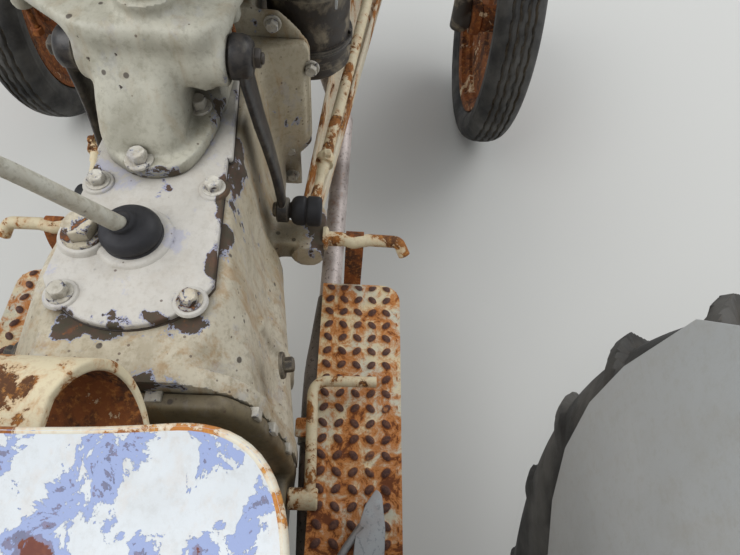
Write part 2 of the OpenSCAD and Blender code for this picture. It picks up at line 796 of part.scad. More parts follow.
module lift_arms() color(dark_brown) at_frame() {
    bar_y(lift_shaft_r, -lift_arm_y - 14, lift_arm_y + 14, lift_shaft_x, lift_shaft_z);
    both_sides() difference() {
        union() {
            bar_y(36, 176 + end_play, lift_arm_y + 14, lift_shaft_x, lift_shaft_z);
            bar_y(24, lift_arm_y - 11, lift_arm_y + 11, lift_end.x, lift_end.z);
            along_y(lift_arm_y - 9, lift_arm_y + 9) polygon([
                [lift_shaft_x - 8, lift_shaft_z + 34], [lift_end.x, lift_end.z + 22],
                [lift_end.x, lift_end.z - 22], [lift_shaft_x - 8, lift_shaft_z - 34]
            ]);
        }
        bar_y(10 + fit_gap, lift_arm_y - 20, lift_arm_y + 20, lift_end.x, lift_end.z);
    }
}

link_end_y = 359;
link_mid = 0.43;
link_t = 16;

module lower_link() {
    p = [link_pivot_x, link_pivot_y, link_pivot_z];
    q = [-link_reach, link_end_y, link_pivot_z];
    difference() {
        union() {
            aim(p, q) translate([-26, -link_t / 2, 22]) cube([52, link_t, norm(q - p) - 44]);
            bar_y(28, p.y - 14, p.y + 14, p.x, p.z);
            bar_y(link_eye_r, q.y - 22, q.y + 22, q.x, q.z);
        }
        bar_y(11.1, q.y - 30, q.y + 30, q.x, q.z);
        bar_y(link_pin_r + fit_gap, p.y - 30, p.y + 30, p.x, p.z);
    }
}

module lower_links() color(dark_brown) at_frame() both_sides() lower_link();

rod_low = [
    link_pivot_x + (-link_reach - link_pivot_x) * link_mid,
    link_pivot_y + (link_end_y - link_pivot_y) * link_mid + 32,
    link_pivot_z + 4
];

module lift_rods() color(dark_brown) at_frame() both_sides() {
    top = [lift_end.x, lift_end.y + 24, lift_end.z];
    bar_y(10, lift_arm_y - 14, top.y + 8, lift_end.x, lift_end.z);
    bar_y(21, top.y - 11, top.y + 11, top.x, top.z);
    rod(top, rod_low, 11);
    rod(top + 0.3 * (rod_low - top), top + 0.72 * (rod_low - top), 17);
    bar_y(22, rod_low.y - 9, rod_low.y + 9, rod_low.x, rod_low.z);
}

// Engine

block_right = -78;
block_left = 105;

module engine_block() color(cast_cream) at_frame() {
    box([gearbox_front, block_right, 520], [block_front, block_left, block_top_z]);
    // Back plate
    along_x(gearbox_front, gearbox_front + 12) intersection() {
        bell_outline();
        area([-230, 362], [230, 797]);
    }
    // Sump
    along_x(gearbox_front + 12, block_front) polygon([
        [-112, 535], [112, 535], [112, 512], [96, 505], [84, 420], [60, 392], [-60, 392],
        [-84, 420], [-96, 505], [-112, 512]
    ]);
}

module cylinder_head() color(sheet_grey) at_frame() {
    box([gearbox_front + 24, block_right, block_top_z], [block_front, block_left - 20, block_top_z + 76]);
    along_x(gearbox_front + 44, block_front - 50) polygon([
        [-58, block_top_z + 76], [70, block_top_z + 76], [70, block_top_z + 122],
        [48, block_top_z + 142], [-36, block_top_z + 142], [-58, block_top_z + 122]
    ]);
}

crank_z = 600;
fan_z = 780;
fan_r = 150;
fan_x = block_front + 34;
dynamo_y = 160;
dynamo_z = 728;

module engine_units() color(dark_brown) at_frame() {
    // Dynamo on the left
    bar_x(52, block_front - 190, block_front + 6, dynamo_y, dynamo_z);
    bar_x(45, block_front + 6, block_front + 26, dynamo_y, dynamo_z);
    box([block_front - 150, block_left, dynamo_z - 66], [block_front - 40, dynamo_y, dynamo_z - 40]);
    // Starter on the left
    bar_x(45, gearbox_front + 12, gearbox_front + 230, block_left + 47, 694);
    // Distributor
    bar_z(20, 640, 760, gearbox_front + 290, block_left + 22);
    bar_z(38, 760, 830, gearbox_front + 290, block_left + 40);
    // Carburettor under the manifold on the right
    box([gearbox_front + 300, block_right - 84, 690], [gearbox_front + 356, block_right, 790]);
    bar_x(30, gearbox_front + 285, gearbox_front + 370, block_right - 60, 730);
    // Crank pulley, water pump and fan
    bar_x(64, block_front + 4, block_front + 24, 0, crank_z);
    bar_x(24, block_front, block_front + 4, 0, crank_z);
    bar_x(40, block_front, block_front + 34, 0, fan_z);
    bar_x(58, block_front + 6, block_front + 24, 0, fan_z);
    for (i = [0 : 3])
        translate([fan_x, 0, fan_z]) rotate([i * 90 + 20, 0, 0])
            rotate([0, 0, 28]) translate([-2, -36, 20]) cube([4, 72, fan_r - 20]);
    bar_x(30, fan_x - 4, fan_x + 8, 0, fan_z);
}

// Y and Z of the silencer's axis
silencer_at = [-204, 384];

module exhaust() color(bare_steel) at_frame() {
    man_y = block_right - 46;
    // Manifold with its ports
    bar_x(26, gearbox_front + 110, gearbox_front + 440, man_y, block_top_z + 36);
    for (x = [130, 230, 320, 420])
        bar_y(20, man_y, block_right, gearbox_front + x, block_top_z + 36);
    // Pipe down beside the sump, under the radius rod and back below the footboard
    bent_rod([
        [gearbox_front + 392, man_y, block_top_z + 30], [gearbox_front + 392, -146, 720],
        [gearbox_front + 392, -146, 446], [1231, -214, 430], [819, -204, 410],
        [330, silencer_at.x + 2, silencer_at.y + 4]
    ], exhaust_r);
    bar_x(36, 62, 332, silencer_at.x, silencer_at.y);
    bar_x(16, 20, 62, silencer_at.x, silencer_at.y);
}

cleaner_x = 1140;
cleaner_y = -152;

module air_cleaner() color(cast_cream) at_frame() {
    bar_z(cleaner_r - 8, 650, 662, cleaner_x, cleaner_y);
    bar_z(cleaner_r, 660, 704, cleaner_x, cleaner_y);
    bar_z(cleaner_r + 3, 704, 714, cleaner_x, cleaner_y);
    bar_z(cleaner_r - 3, 714, 800, cleaner_x, cleaner_y);
    bar_x(22, cleaner_x, gearbox_front + 285, cleaner_y + 14, 730);
}

hose_z = 968;
radiator_x0 = block_front + 54;
radiator_x1 = radiator_x0 + 72;
radiator_top_z = 1004;
support_top_z = 600;

module radiator() color(dark_brown) at_frame() {
    box([radiator_x0, -178, support_top_z], [radiator_x1, 178, support_top_z + 54]);
    box([radiator_x0, -178, 940], [radiator_x1, 178, radiator_top_z]);
    difference() {
        box([radiator_x0 + 6, -170, support_top_z + 54], [radiator_x1 - 6, 170, 940]);
        for (i = [0 : 20])
            translate([radiator_x0, -160, support_top_z + 64 + i * 13]) cube([12, 320, 6]);
    }
    // Top hose over the fan
    bar_z(20, block_top_z + 76, hose_z + 12, block_front - 22, 0);
    bar_x(22, block_front - 36, radiator_x0, 0, hose_z);
    bar_z(30, radiator_top_z, radiator_top_z + 24, (radiator_x0 + radiator_x1) / 2, 0);
}

module front_support() color(cast_cream) at_frame() {
    difference() {
        box([block_front + 30, -125, 512], [support_front, 125, support_top_z]);
        // Recess for the crank pulley and belt
        box([block_front + 29, -80, 511], [block_front + 36, 80, support_top_z + 1]);
    }
    for (s = [-1, 1])
        box([block_front, s > 0 ? 84 : -125, 512], [block_front + 30, s > 0 ? 125 : -84, support_top_z]);
    // Lugs and pin that carry the axle
    for (x = [beam_x - beam_half_w - 18, beam_x + beam_half_w + 2])
        along_x(x, x + 16) polygon([[-70, 512], [70, 512], [34, pivot_z - 34], [-34, pivot_z - 34]]);
    bar_x(pivot_r, beam_x - beam_half_w - 24, beam_x + beam_half_w + 24, 0, pivot_z);
    // Hinge pin of the bonnet in its ears
    bar_y(hinge_r, -hinge_y - 20, hinge_y + 20, hinge_x, hinge_z);
    for (y = [-hinge_y - 20, -hinge_y + 12, hinge_y - 20, hinge_y + 12])
        box([hinge_x - 8, y, support_top_z], [hinge_x + 8, y + 8, hinge_z + 8]);
}

// Bonnet and what is under it

bonnet_back = 962;
bonnet_front = support_front + 2;
nose_r = 150;
skirt_z = 862;
nose_back = bonnet_front - 186;
nose_z = 622;

// Arched outline of the bonnet in Y and Z, drawn in by t
module bonnet_arch(t) {
    corner_r = 104 - t;
    crown_r = 330 - t;
    half = bonnet_w / 2 - t;
    intersection() {
        union() {
            area([-half, 500], [half, bonnet_top_z - 104]);
            area([-half + corner_r, 500], [half - corner_r, bonnet_top_z]);
            for (s = [-1, 1]) translate([s * (half - corner_r), bonnet_top_z - 104]) circle(r = corner_r);
        }
        union() {
            translate([0, bonnet_top_z - 330]) circle(r = crown_r);
            area([-half, 500], [half, bonnet_top_z - 150]);
        }
    }
}

// Side view of the bonnet in X and Z, drawn in by t
module bonnet_side(t) {
    union() {
        area([bonnet_back - 1, 500], [bonnet_front - nose_r, bonnet_top_z + 5]);
        area([bonnet_back - 1, 500], [bonnet_front - t, bonnet_top_z - nose_r]);
        translate([bonnet_front - nose_r, bonnet_top_z - nose_r]) circle(r = nose_r - t);
    }
}

module bonnet_mass(t) intersection() {
    along_x(bonnet_back - (t > 0 ? 1 : 0), bonnet_front) bonnet_arch(t);
    along_y(-bonnet_w, bonnet_w) bonnet_side(t);
}

hinge_x = bonnet_front - 12;
hinge_z = support_top_z + 12;
hinge_r = 6;
hinge_y = 90;

module bonnet() color(sheet_grey) at_frame() {
    difference() {
        bonnet_mass(0);
        bonnet_mass(sheet_t);
        box([bonnet_back - 2, -bonnet_w, 400], [nose_back, bonnet_w, skirt_z]);
        box([bonnet_back - 2, -bonnet_w, 400], [bonnet_front + 1, bonnet_w, nose_z]);
        // Opening for the grille
        along_x(bonnet_front - 40, bonnet_front + 1) grille_outline(0);
        // Hole over the fuel filler
        bar_z(36, bonnet_top_z - 40, bonnet_top_z + 1, filler_x);
    }
    // Hinge eyes at the foot of the nose
    for (s = [-1, 1]) difference() {
        union() {
            bar_y(hinge_r + 4, s * hinge_y - 8, s * hinge_y + 8, hinge_x, hinge_z);
            box([hinge_x - 4, s * hinge_y - 8, hinge_z], [bonnet_front, s * hinge_y + 8, nose_z + 12]);
        }
        bar_y(hinge_r + fit_gap, s * hinge_y - 10, s * hinge_y + 10, hinge_x, hinge_z);
    }
}

filler_x = 1180;
grille_half = 132;
grille_z0 = 652;
grille_z1 = 940;

module grille_outline(grow) {
    area([-grille_half - grow, grille_z0 - grow], [grille_half + grow, grille_z1 - 80]);
    intersection() {
        translate([0, grille_z1 - 80 - 60]) circle(r = 146 + grow);
        area([-grille_half - grow, grille_z0], [grille_half + grow, grille_z1 + grow]);
    }
}

module grille() color(sheet_grey) at_frame() {
    x1 = bonnet_front - sheet_t;
    difference() {
        along_x(x1 - 5, x1) grille_outline(10);
        along_x(x1 - 6, x1 + 1) grille_outline(-6);
    }
    intersection() {
        along_x(x1 - 12, x1) grille_outline(-2);
        for (i = [0 : grille_bars - 1])
            translate([x1 - 11, (i - (grille_bars - 1) / 2) * 2 * grille_half / grille_bars - 5, grille_z0 - 10])
                cube([10, 10, 340]);
    }
    box([x1 - 9, -grille_half + 2, 780], [x1 - 5, grille_half - 2, 790]);
}

module dash_panel() color(sheet_grey) at_frame() {
    difference() {
        along_x(945, bonnet_back - 1) intersection() {
            bonnet_arch(2);
            area([-300, box_top_z + 14], [300, 1200]);
        }
        along_x(950, bonnet_back) intersection() {
            bonnet_arch(6);
            area([-300, box_top_z + 20], [300, 1200]);
        }
    }
    // Foot that stands on the steering box
    box([930, -190, box_top_z + 14], [945, 190, box_top_z + 18]);
    for (y = [-70, 70]) bar_x(26, 936, 945, y, 1010);
}

module fuel_tank() color(sheet_grey) at_frame() {
    along_x(1000, 1440) union() {
        area([-165, 962], [165, 1000]);
        area([-115, 962], [115, 1062]);
        for (s = [-1, 1]) translate([s * 115, 1012]) circle(r = 50);
    }
    bar_z(28, 1062, bonnet_top_z + 10, filler_x);
    bar_z(33, bonnet_top_z + 6, bonnet_top_z + 22, filler_x);
    // Straps down to the head
    for (x = [1080, 1380]) box([x, -40, block_top_z + 142], [x + 30, 40, 962]);
}

// Seat

spring_x = 400;
spring_r = 46;
spring_t = 10;
spring_z0 = cover_top_z;
spring_z1 = spring_z0 + 2 * spring_r;

module seat_spring() color(rust) at_frame() along_y(-spring_w / 2, spring_w / 2) union() {
    difference() {
        translate([spring_x, spring_z0 + spring_r]) circle(r = spring_r);
        translate([spring_x, spring_z0 + spring_r]) circle(r = spring_r - spring_t);
        area([spring_x - 100, spring_z0 - 10], [spring_x, spring_z1 + 10]);
    }
    area([140, spring_z0], [spring_x, spring_z0 + spring_t]);
    area([90, spring_z1 - spring_t], [spring_x, spring_z1]);
}

pan_r = 470;
pan_x = 170;
pan_t = 4;
pan_z = spring_z1 + pan_r;
pan_front = 388;

module pan_plan(t) {
    half = seat_w / 2 - t;
    corner = 80 - t;
    union() {
        area([pan_x, -half], [pan_front - 80, half]);
        area([pan_x, -half + corner], [pan_front - t, half - corner]);
        for (s = [-1, 1]) translate([pan_front - 80, s * (half - corner)]) circle(r = corner);
        translate([pan_x, 0]) circle(r = half);
    }
}

module seat_pan() color(sheet_grey) at_frame() {
    intersection() {
        difference() {
            translate([pan_x, 0, pan_z]) sphere(r = pan_r, $fn = 128);
            translate([pan_x, 0, pan_z]) sphere(r = pan_r - pan_t, $fn = 128);
        }
        translate([0, 0, spring_z1]) linear_extrude(height = 120) pan_plan(0);
    }
    // Raised back edge
    difference() {
        intersection() {
            translate([0, 0, spring_z1]) linear_extrude(height = 120) pan_plan(0);
            translate([0, 0, spring_z1 + 48]) box([-60, -250, 0], [70, 250, 60]);
        }
        translate([0, 0, spring_z1 - 1]) linear_extrude(height = 130) pan_plan(pan_t);
    }
}

// Mudguards and footboards

guard_r = rear_tyre_r + guard_gap;
guard_y0 = rear_y - rear_tyre_w / 2 - guard_side_gap;
guard_lip_y = rear_y + rear_tyre_w / 2 + 12;
guard_t = 3;

// Section of the top sheet in radius and width
module guard_section(t) {
    r = guard_r - t;
    edge = 44 - t;
    union() {
        area([200, guard_y0 + t], [r - edge, guard_lip_y - t]);
        area([200, guard_y0 + t + edge], [r, guard_lip_y - t - edge]);
        for (y = [guard_y0 + t + edge, guard_lip_y - t - edge]) translate([r - edge, y]) circle(r = edge);
    }
}

module mudguard() {
    // Top sheet, a part of a turn about the rear axle
    translate([0, 0, rear_z]) rotate([-90, 0, 0]) rotate([0, 0, 208])
        rotate_extrude(angle = 100, $fn = 96) difference() {
            guard_section(0);
            guard_section(guard_t);
            area([0, 0], [guard_r - 60, 1200]);
        }
    // Inner panel
    front = [
        [361, 589], [413, 628], [455, 690], [478, 770], [482, 850], [470, 960]
    ];
    difference() {
        along_y(guard_y0, guard_y0 + guard_t) union() {
            intersection() {
                translate([0, rear_z]) circle(r = guard_r - 50, $fn = 96);
                polygon(concat([[-560, 700], [-460, 560], [361, 560]], front, [[420, 1120], [0, 1320], [-560, 1000]]));
            }
        }
        bar_y(drum_r + 8, guard_y0 - 5, guard_y0 + 10, 0, rear_z);
    }
    // Bracket down to the axle housing
    box([-50, guard_y0 - 34, rear_z + pad_h], [50, guard_y0, rear_z + pad_h + 8]);
    for (x = [-50, 44]) box([x, guard_y0 - 8, rear_z + pad_h], [x + 6, guard_y0, rear_z + pad_h + 140]);
}

module mudguards() color(sheet_grey) at_frame() both_sides() mudguard();

board_y0 = 194;
board_x0 = 300;
board_x1 = 810;
board_t = 4;
peg_x = 838;
peg_z = 530;
peg_r = 11;

module footboard() {
    board_y1 = board_y0 + board_w;
    corner = 30;
    strap_y = board_y0 + 36;
    strap_w = 30;
    translate([0, 0, board_z]) linear_extrude(height = board_t) union() {
        area([board_x0, board_y0], [board_x1, board_y1 - corner]);
        area([board_x0, board_y0], [board_x1 - corner, board_y1]);
        translate([board_x1 - corner, board_y1 - corner]) circle(r = corner);
    }
    // Turned-down outer edge
    box([board_x0 + 1, board_y1 - 4, board_z - 22], [board_x1 - corner - 6, board_y1 - 0.5, board_z + 2]);
    // Foot-rest bar out of the gearbox, with its bent tip
    bent_rod([
        [peg_x, boss_face, peg_z], [peg_x, board_y1 - 14, peg_z], [peg_x - 12, board_y1, peg_z - 18]
    ], peg_r);
    // Strap from the bar down to the board
    along_y(strap_y, strap_y + strap_w) polygon([
        [board_x1 - 14, board_z - 4], [board_x1 + 8, board_z - 4], [board_x1 + 12, peg_z - 24],
        [peg_x + 4, peg_z + 4], [peg_x, peg_z + 7], [board_x1 + 7, peg_z - 20],
        [board_x1 + 3, board_z + 1], [board_x1 - 14, board_z + 1]
    ]);
    // Rear bracket to the housing
    box([board_x0 + 2, centre_w, board_z - 4], [board_x0 + 30, board_y0 + 60, board_z + 1]);
}

module footboards() color(cast_cream) at_frame() both_sides() footboard();

pedal_pivot = [440, 196, 454];

module pedals() color(rust) at_frame() both_sides() {
    lever_z = pedal_pivot.z + 4;
    // Lever forward from the pivot, turned outward for the foot
    translate([0, 0, lever_z]) linear_extrude(height = 16) polygon([
        [pedal_pivot.x, 188], [612, 184], [620, 192], [620, 288], [604, 288], [604, 206],
        [598, 200], [pedal_pivot.x, 204]
    ]);
    bar_y(15, centre_w, pedal_pivot.y + 14, pedal_pivot.x, pedal_pivot.z);
}

centre_housing();
lift_cover();
axle_housings();
gearbox_housing();
gearbox_cover();
gear_lever();
gear_boot();
engine_block();
cylinder_head();
engine_units();
exhaust();
air_cleaner();
radiator();
front_support();
front_axle();
radius_rods();
knuckle_left();
knuckle_right();
drop_arm_left();
drop_arm_right();
drag_link_left();
drag_link_right();
steering_box();
steering_wheel();
dash_panel();
fuel_tank();
bonnet();
grille();
seat_spring();
seat_pan();
mudguards();
footboards();
pedals();
rear_wheel_left();
rear_wheel_right();
rear_tyre_left();
rear_tyre_right();
front_wheel_left();
front_wheel_right();
front_tyre_left();
front_tyre_right();
lift_arms();
lower_links();
lift_rods();
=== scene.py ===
"""Looks of an old grey tractor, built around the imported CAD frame.

Places are written as on the tractor itself: millimetres, x forward from the rear axle, y to the
tractor's left and z up from the ground. Site turns them into the frame's metres.
"""

import logging
import math
from dataclasses import dataclass, field
from enum import Enum
from typing import Any, Iterable, Sequence

import bmesh
import bpy
import numpy as np
from mathutils import Matrix, Vector


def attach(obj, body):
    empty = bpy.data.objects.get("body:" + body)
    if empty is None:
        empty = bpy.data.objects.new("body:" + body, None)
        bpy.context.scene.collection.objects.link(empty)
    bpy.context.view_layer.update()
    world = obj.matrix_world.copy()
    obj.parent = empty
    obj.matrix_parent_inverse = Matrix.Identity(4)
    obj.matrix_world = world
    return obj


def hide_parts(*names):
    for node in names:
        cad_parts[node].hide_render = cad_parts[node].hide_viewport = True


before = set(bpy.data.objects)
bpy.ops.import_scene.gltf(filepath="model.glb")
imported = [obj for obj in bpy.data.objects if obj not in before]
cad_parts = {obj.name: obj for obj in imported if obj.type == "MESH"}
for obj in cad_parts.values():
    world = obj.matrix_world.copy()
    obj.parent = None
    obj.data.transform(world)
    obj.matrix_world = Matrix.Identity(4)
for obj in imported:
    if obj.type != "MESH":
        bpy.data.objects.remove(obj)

Material = bpy.types.Material
Socket = bpy.types.NodeSocket
Point = tuple[float, float, float]
Profile = tuple[tuple[float, float], ...]

LOG = logging.getLogger("tractor")
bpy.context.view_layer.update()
# Middle of the tractor's length, where the frame has its origin
MID_X = 648.5
# Top face of the gearbox
TOP_Z = 757.0
# Foot and direction of the steering column
COLUMN_BASE = (868.0, 0.0, 930.0)
COLUMN_WAY = (-0.34202, 0.0, 0.93969)


class Body(Enum):
    """Bodies of the frame that pieces ride on."""

    CHASSIS = "chassis"
    REAR_LEFT = "rear_left"
    REAR_RIGHT = "rear_right"
    FRONT_LEFT = "front_left"
    FRONT_RIGHT = "front_right"
    STEER_LEFT = "steer_left"
    STEER_RIGHT = "steer_right"
    ARM_LEFT = "arm_left"
    ARM_RIGHT = "arm_right"
    LINK_LEFT = "link_left"
    LINK_RIGHT = "link_right"
    HAND_WHEEL = "hand_wheel"
    HITCH_LINKS = "hitch_links"
    HITCH_ARMS = "hitch_arms"
    HITCH_RODS = "hitch_rods"


class Slot(Enum):
    """Material slots of the record."""

    CASTINGS = "castings"
    SHEET = "sheet_metal"
    IRON = "dark_iron"
    WHEEL = "rusty_wheel"
    TYRE = "tyre"
    RUBBER = "rubber"
    PIPE = "exhaust_steel"
    RUST = "rusty_steel"


# Shading


def linear(code: str) -> tuple[float, float, float, float]:
    """Turns an sRGB hex colour into linear light.

    Args:
        code: Colour such as "#c9c5b6".

    Returns:
        Red, green, blue and an alpha of one.
    """
    raw = [int(code[i:i + 2], 16) / 255 for i in (1, 3, 5)]
    r, g, b = (c / 12.92 if c <= 0.04045 else ((c + 0.055) / 1.055) ** 2.4 for c in raw)
    return (r, g, b, 1.0)


def add(tree: bpy.types.NodeTree, kind: str, settings: dict[Any, Any] | None = None,
        links: dict[Any, Any] | None = None) -> bpy.types.Node:
    """Adds one node with its settings and links.

    Args:
        tree: Node tree that gets the node.
        kind: Blender's name of the node type.
        settings: Attributes by name, and input values by the input's name or number.
        links: Output sockets by the input's name or number.

    Returns:
        The new node.
    """
    node = tree.nodes.new(kind)
    for key, value in (settings or {}).items():
        if isinstance(key, str) and hasattr(node, key):
            setattr(node, key, value)
        else:
            node.inputs[key].default_value = value
    for key, source in (links or {}).items():
        tree.links.new(source, node.inputs[key])
    return node


@dataclass
class Graph:
    """A material under construction: its tree, its coordinates and its running height."""

    name: str
    material: Material = field(init=False)
    tree: bpy.types.NodeTree = field(init=False)
    place: Socket = field(init=False)

    def __post_init__(self) -> None:
        """Starts an empty tree with object coordinates in metres."""
        self.material = bpy.data.materials.new(self.name)
        self.material.use_nodes = True
        self.tree = self.material.node_tree
        self.tree.nodes.clear()
        self.place = add(self.tree, "ShaderNodeTexCoord").outputs["Object"]

    def cloud(self, size_mm: float, detail: float = 6.0, rough: float = 0.6, warp: float = 0.0,
              stretch: Sequence[float] = (1, 1, 1), shift: float = 0.0) -> Socket:
        """Soft irregular patches of about one size.

        Args:
            size_mm: Size of the largest patches.
            detail: Octaves of smaller patches inside them.
            rough: Strength of the smaller patches.
            warp: How far the patches are torn.
            stretch: Factor on the size along each axis.
            shift: Offset that gives another set of patches.

        Returns:
            A value around 0.5.
        """
        turn = self.moved((shift, shift * 1.7, shift * 0.6), [1000 / size_mm / s for s in stretch])
        return add(self.tree, "ShaderNodeTexNoise", {
            "Scale": 1.0, "Detail": detail, "Roughness": rough, "Distortion": warp,
        }, {"Vector": turn}).outputs[0]

    def moved(self, offset: Sequence[float], scale: Sequence[float]) -> Socket:
        """Object coordinates, scaled and then shifted.

        Args:
            offset: Shift after scaling.
            scale: Factor on each axis.

        Returns:
            The coordinates.
        """
        return add(self.tree, "ShaderNodeMapping", {"Location": tuple(offset), "Scale": tuple(scale)},
                   {"Vector": self.place}).outputs[0]

    def chosen(self, cell: bpy.types.Node, share: float) -> Socket:
        """One in a share of the cells, picked by their random colour, and zero in the others."""
        return self.step(self.times(cell.outputs["Color"], 1.0), share + 0.01, share)

    def flecks(self, pitch_mm: float, size: float, share: float,
               shift: float = 0.0) -> Socket:
        """Small round spots scattered at random.

        Args:
            pitch_mm: Mean distance between places that may hold a spot.
            size: Radius of a spot as a share of the pitch.
            share: Share of the places that hold one.
            shift: Offset that gives another set.

        Returns:
            One inside a spot and zero outside.
        """
        turn = self.moved((shift, shift * 0.7, shift * 1.3), (1000 / pitch_mm,) * 3)
        cell = add(self.tree, "ShaderNodeTexVoronoi", {"Scale": 1.0}, {"Vector": turn})
        return self.times(self.step(cell.outputs["Distance"], size, size * 0.7), self.chosen(cell, share))

    def step(self, value: Socket, low: float, high: float,
             bottom: float = 0.0, top: float = 1.0) -> Socket:
        """Smooth rise from bottom at low to top at high.

        Args:
            value: Value to map.
            low: Value at which the rise starts.
            high: Value at which it ends.
            bottom: Result at low.
            top: Result at high.

        Returns:
            The mapped value.
        """
        return add(self.tree, "ShaderNodeMapRange", {
            "interpolation_type": "SMOOTHSTEP", 1: low, 2: high, 3: bottom, 4: top,
        }, {0: value}).outputs[0]

    def calc(self, operation: str, *values: Socket | float) -> Socket:
        """One sum on numbers or sockets, kept between zero and one where it adds.

        Args:
            operation: Blender's name of the sum.
            values: Its terms.

        Returns:
            The result.
        """
        node = add(self.tree, "ShaderNodeMath", {"operation": operation})
        node.use_clamp = operation == "ADD"
        for i, value in enumerate(values):
            if isinstance(value, (int, float)):
                node.inputs[i].default_value = value
            else:
                self.tree.links.new(value, node.inputs[i])
        return node.outputs[0]

    def times(self, a: Socket | float, b: Socket | float) -> Socket:
        """Product of two values."""
        return self.calc("MULTIPLY", a, b)

    def plus(self, a: Socket | float, b: Socket | float) -> Socket:
        """Sum of two values."""
        return self.calc("ADD", a, b)

    def minus(self, a: Socket | float, b: Socket | float) -> Socket:
        """Difference of two values."""
        return self.calc("SUBTRACT", a, b)

    def over(self, under: Socket | str, top: Socket | str, mask: Socket | float) -> Socket:
        """Lays one colour over another where the mask is one.

        Args:
            under: Colour below, as a socket or a hex code.
            top: Colour above, as a socket or a hex code.
            mask: Share of the top colour.

        Returns:
            The mixed colour.
        """
        node = add(self.tree, "ShaderNodeMix", {"data_type": "RGBA"})
        slots = (node.inputs[6], node.inputs[7])
        for socket, value in zip(slots, (under, top)):
            if isinstance(value, str):
                socket.default_value = linear(value)
            else:
                self.tree.links.new(value, socket)
        if isinstance(mask, (int, float)):
            node.inputs[0].default_value = mask
        else:
            self.tree.links.new(mask, node.inputs[0])
        return node.outputs[2]

    def wash(self, under: Socket | str, top: Socket | str, value: Socket, low: float, high: float,
             share: float = 1.0) -> Socket:
        """Lays a colour over another where a value rises from low to high, up to a share.

        Args:
            under: Colour below.
            top: Colour above.
            value: Value that places it.
            low: Value at which it starts.
            high: Value at which it is full.
            share: Its share where it is full.

        Returns:
            The mixed colour.
        """
        return self.over(under, top, self.times(self.step(value, low, high), share))

    def edges(self, radius_mm: float) -> Socket:
        """Outer edges and ridges, where paint wears first.

        Args:
            radius_mm: Width of the band along an edge.

        Returns:
            A value that rises to one on a sharp edge.
        """
        soft = add(self.tree, "ShaderNodeBevel", {"samples": 4, "Radius": radius_mm / 1000})
        hard = add(self.tree, "ShaderNodeNewGeometry")
        dot = add(self.tree, "ShaderNodeVectorMath", {"operation": "DOT_PRODUCT"},
                  {0: soft.outputs[0], 1: hard.outputs["Normal"]})
        return self.step(dot.outputs["Value"], 0.985, 0.80)

    def hollows(self, reach_mm: float) -> Socket:
        """Corners and hollows found by ambient occlusion, where soil gathers and shade falls, from zero in
        the open to one.

        Args:
            reach_mm: How far a wall may be to count.

        Returns:
            The mask.
        """
        shade = add(self.tree, "ShaderNodeAmbientOcclusion",
                    {"samples": 6, "Distance": reach_mm / 1000})
        return self.step(shade.outputs["AO"], 0.85, 0.25)

    def blisters(self, pitch_mm: float, size: float, share: float,
                 shift: float = 0.0) -> tuple[Socket, Socket]:
        """Torn rust blisters scattered at random, each with a halo of rust film.

        Args:
            pitch_mm: Mean distance between places that may hold a blister.
            size: Radius of a halo as a share of the pitch.
            share: Share of the places that hold one.
            shift: Offset that gives another set.

        Returns:
            The mask of the cores and that of the halos.
        """
        turn = self.moved((shift, shift * 0.7, shift * 1.3), (1000 / pitch_mm,) * 3)
        torn = add(self.tree, "ShaderNodeTexNoise", {"Scale": 3.0, "Detail": 5.0, "Roughness": 0.7},
                   {"Vector": turn})
        bent = add(self.tree, "ShaderNodeVectorMath", {"operation": "MULTIPLY_ADD", 1: (0.55,) * 3},
                   {0: torn.outputs["Color"], 2: turn})
        cell = add(self.tree, "ShaderNodeTexVoronoi", {"Scale": 1.0}, {"Vector": bent.outputs[0]})
        pick = self.chosen(cell, share)
        core = self.step(cell.outputs["Distance"], size * 0.5, size * 0.38)
        halo = self.step(cell.outputs["Distance"], size, size * 0.45)
        return self.times(core, pick), self.times(halo, pick)

    def spot(self, centre: Sequence[float], end: Sequence[float] | None,
             radius_mm: float) -> Socket:
        """A soft ball around a place on the tractor, or a soft rod from one place to another.

        Args:
            centre: Middle of the ball, or start of the rod.
            end: End of the rod, or None for a ball.
            radius_mm: Radius at which it fades out.

        Returns:
            One at the middle, falling to zero.
        """
        start = Site.at(centre)
        near: Socket | None = None
        if end is not None:
            # Nearest place on the rod: the share of its length is clamped to between zero and one
            along = Site.at(end) - start
            off = add(self.tree, "ShaderNodeVectorMath", {"operation": "SUBTRACT", 1: tuple(start)},
                      {0: self.place})
            share = add(self.tree, "ShaderNodeVectorMath",
                        {"operation": "DOT_PRODUCT", 1: tuple(along / (along @ along))}, {0: off.outputs[0]})
            held = add(self.tree, "ShaderNodeClamp", None, {0: share.outputs["Value"]}).outputs[0]
            near = add(self.tree, "ShaderNodeVectorMath",
                       {"operation": "MULTIPLY_ADD", 1: tuple(along), 2: tuple(start)}, {0: held}).outputs[0]
        far = add(self.tree, "ShaderNodeVectorMath", {"operation": "DISTANCE", 1: tuple(start)},
                  {0: self.place})
        if near is not None:
            self.tree.links.new(near, far.inputs[1])
        return self.step(far.outputs["Value"], radius_mm / 1000, radius_mm / 3000)

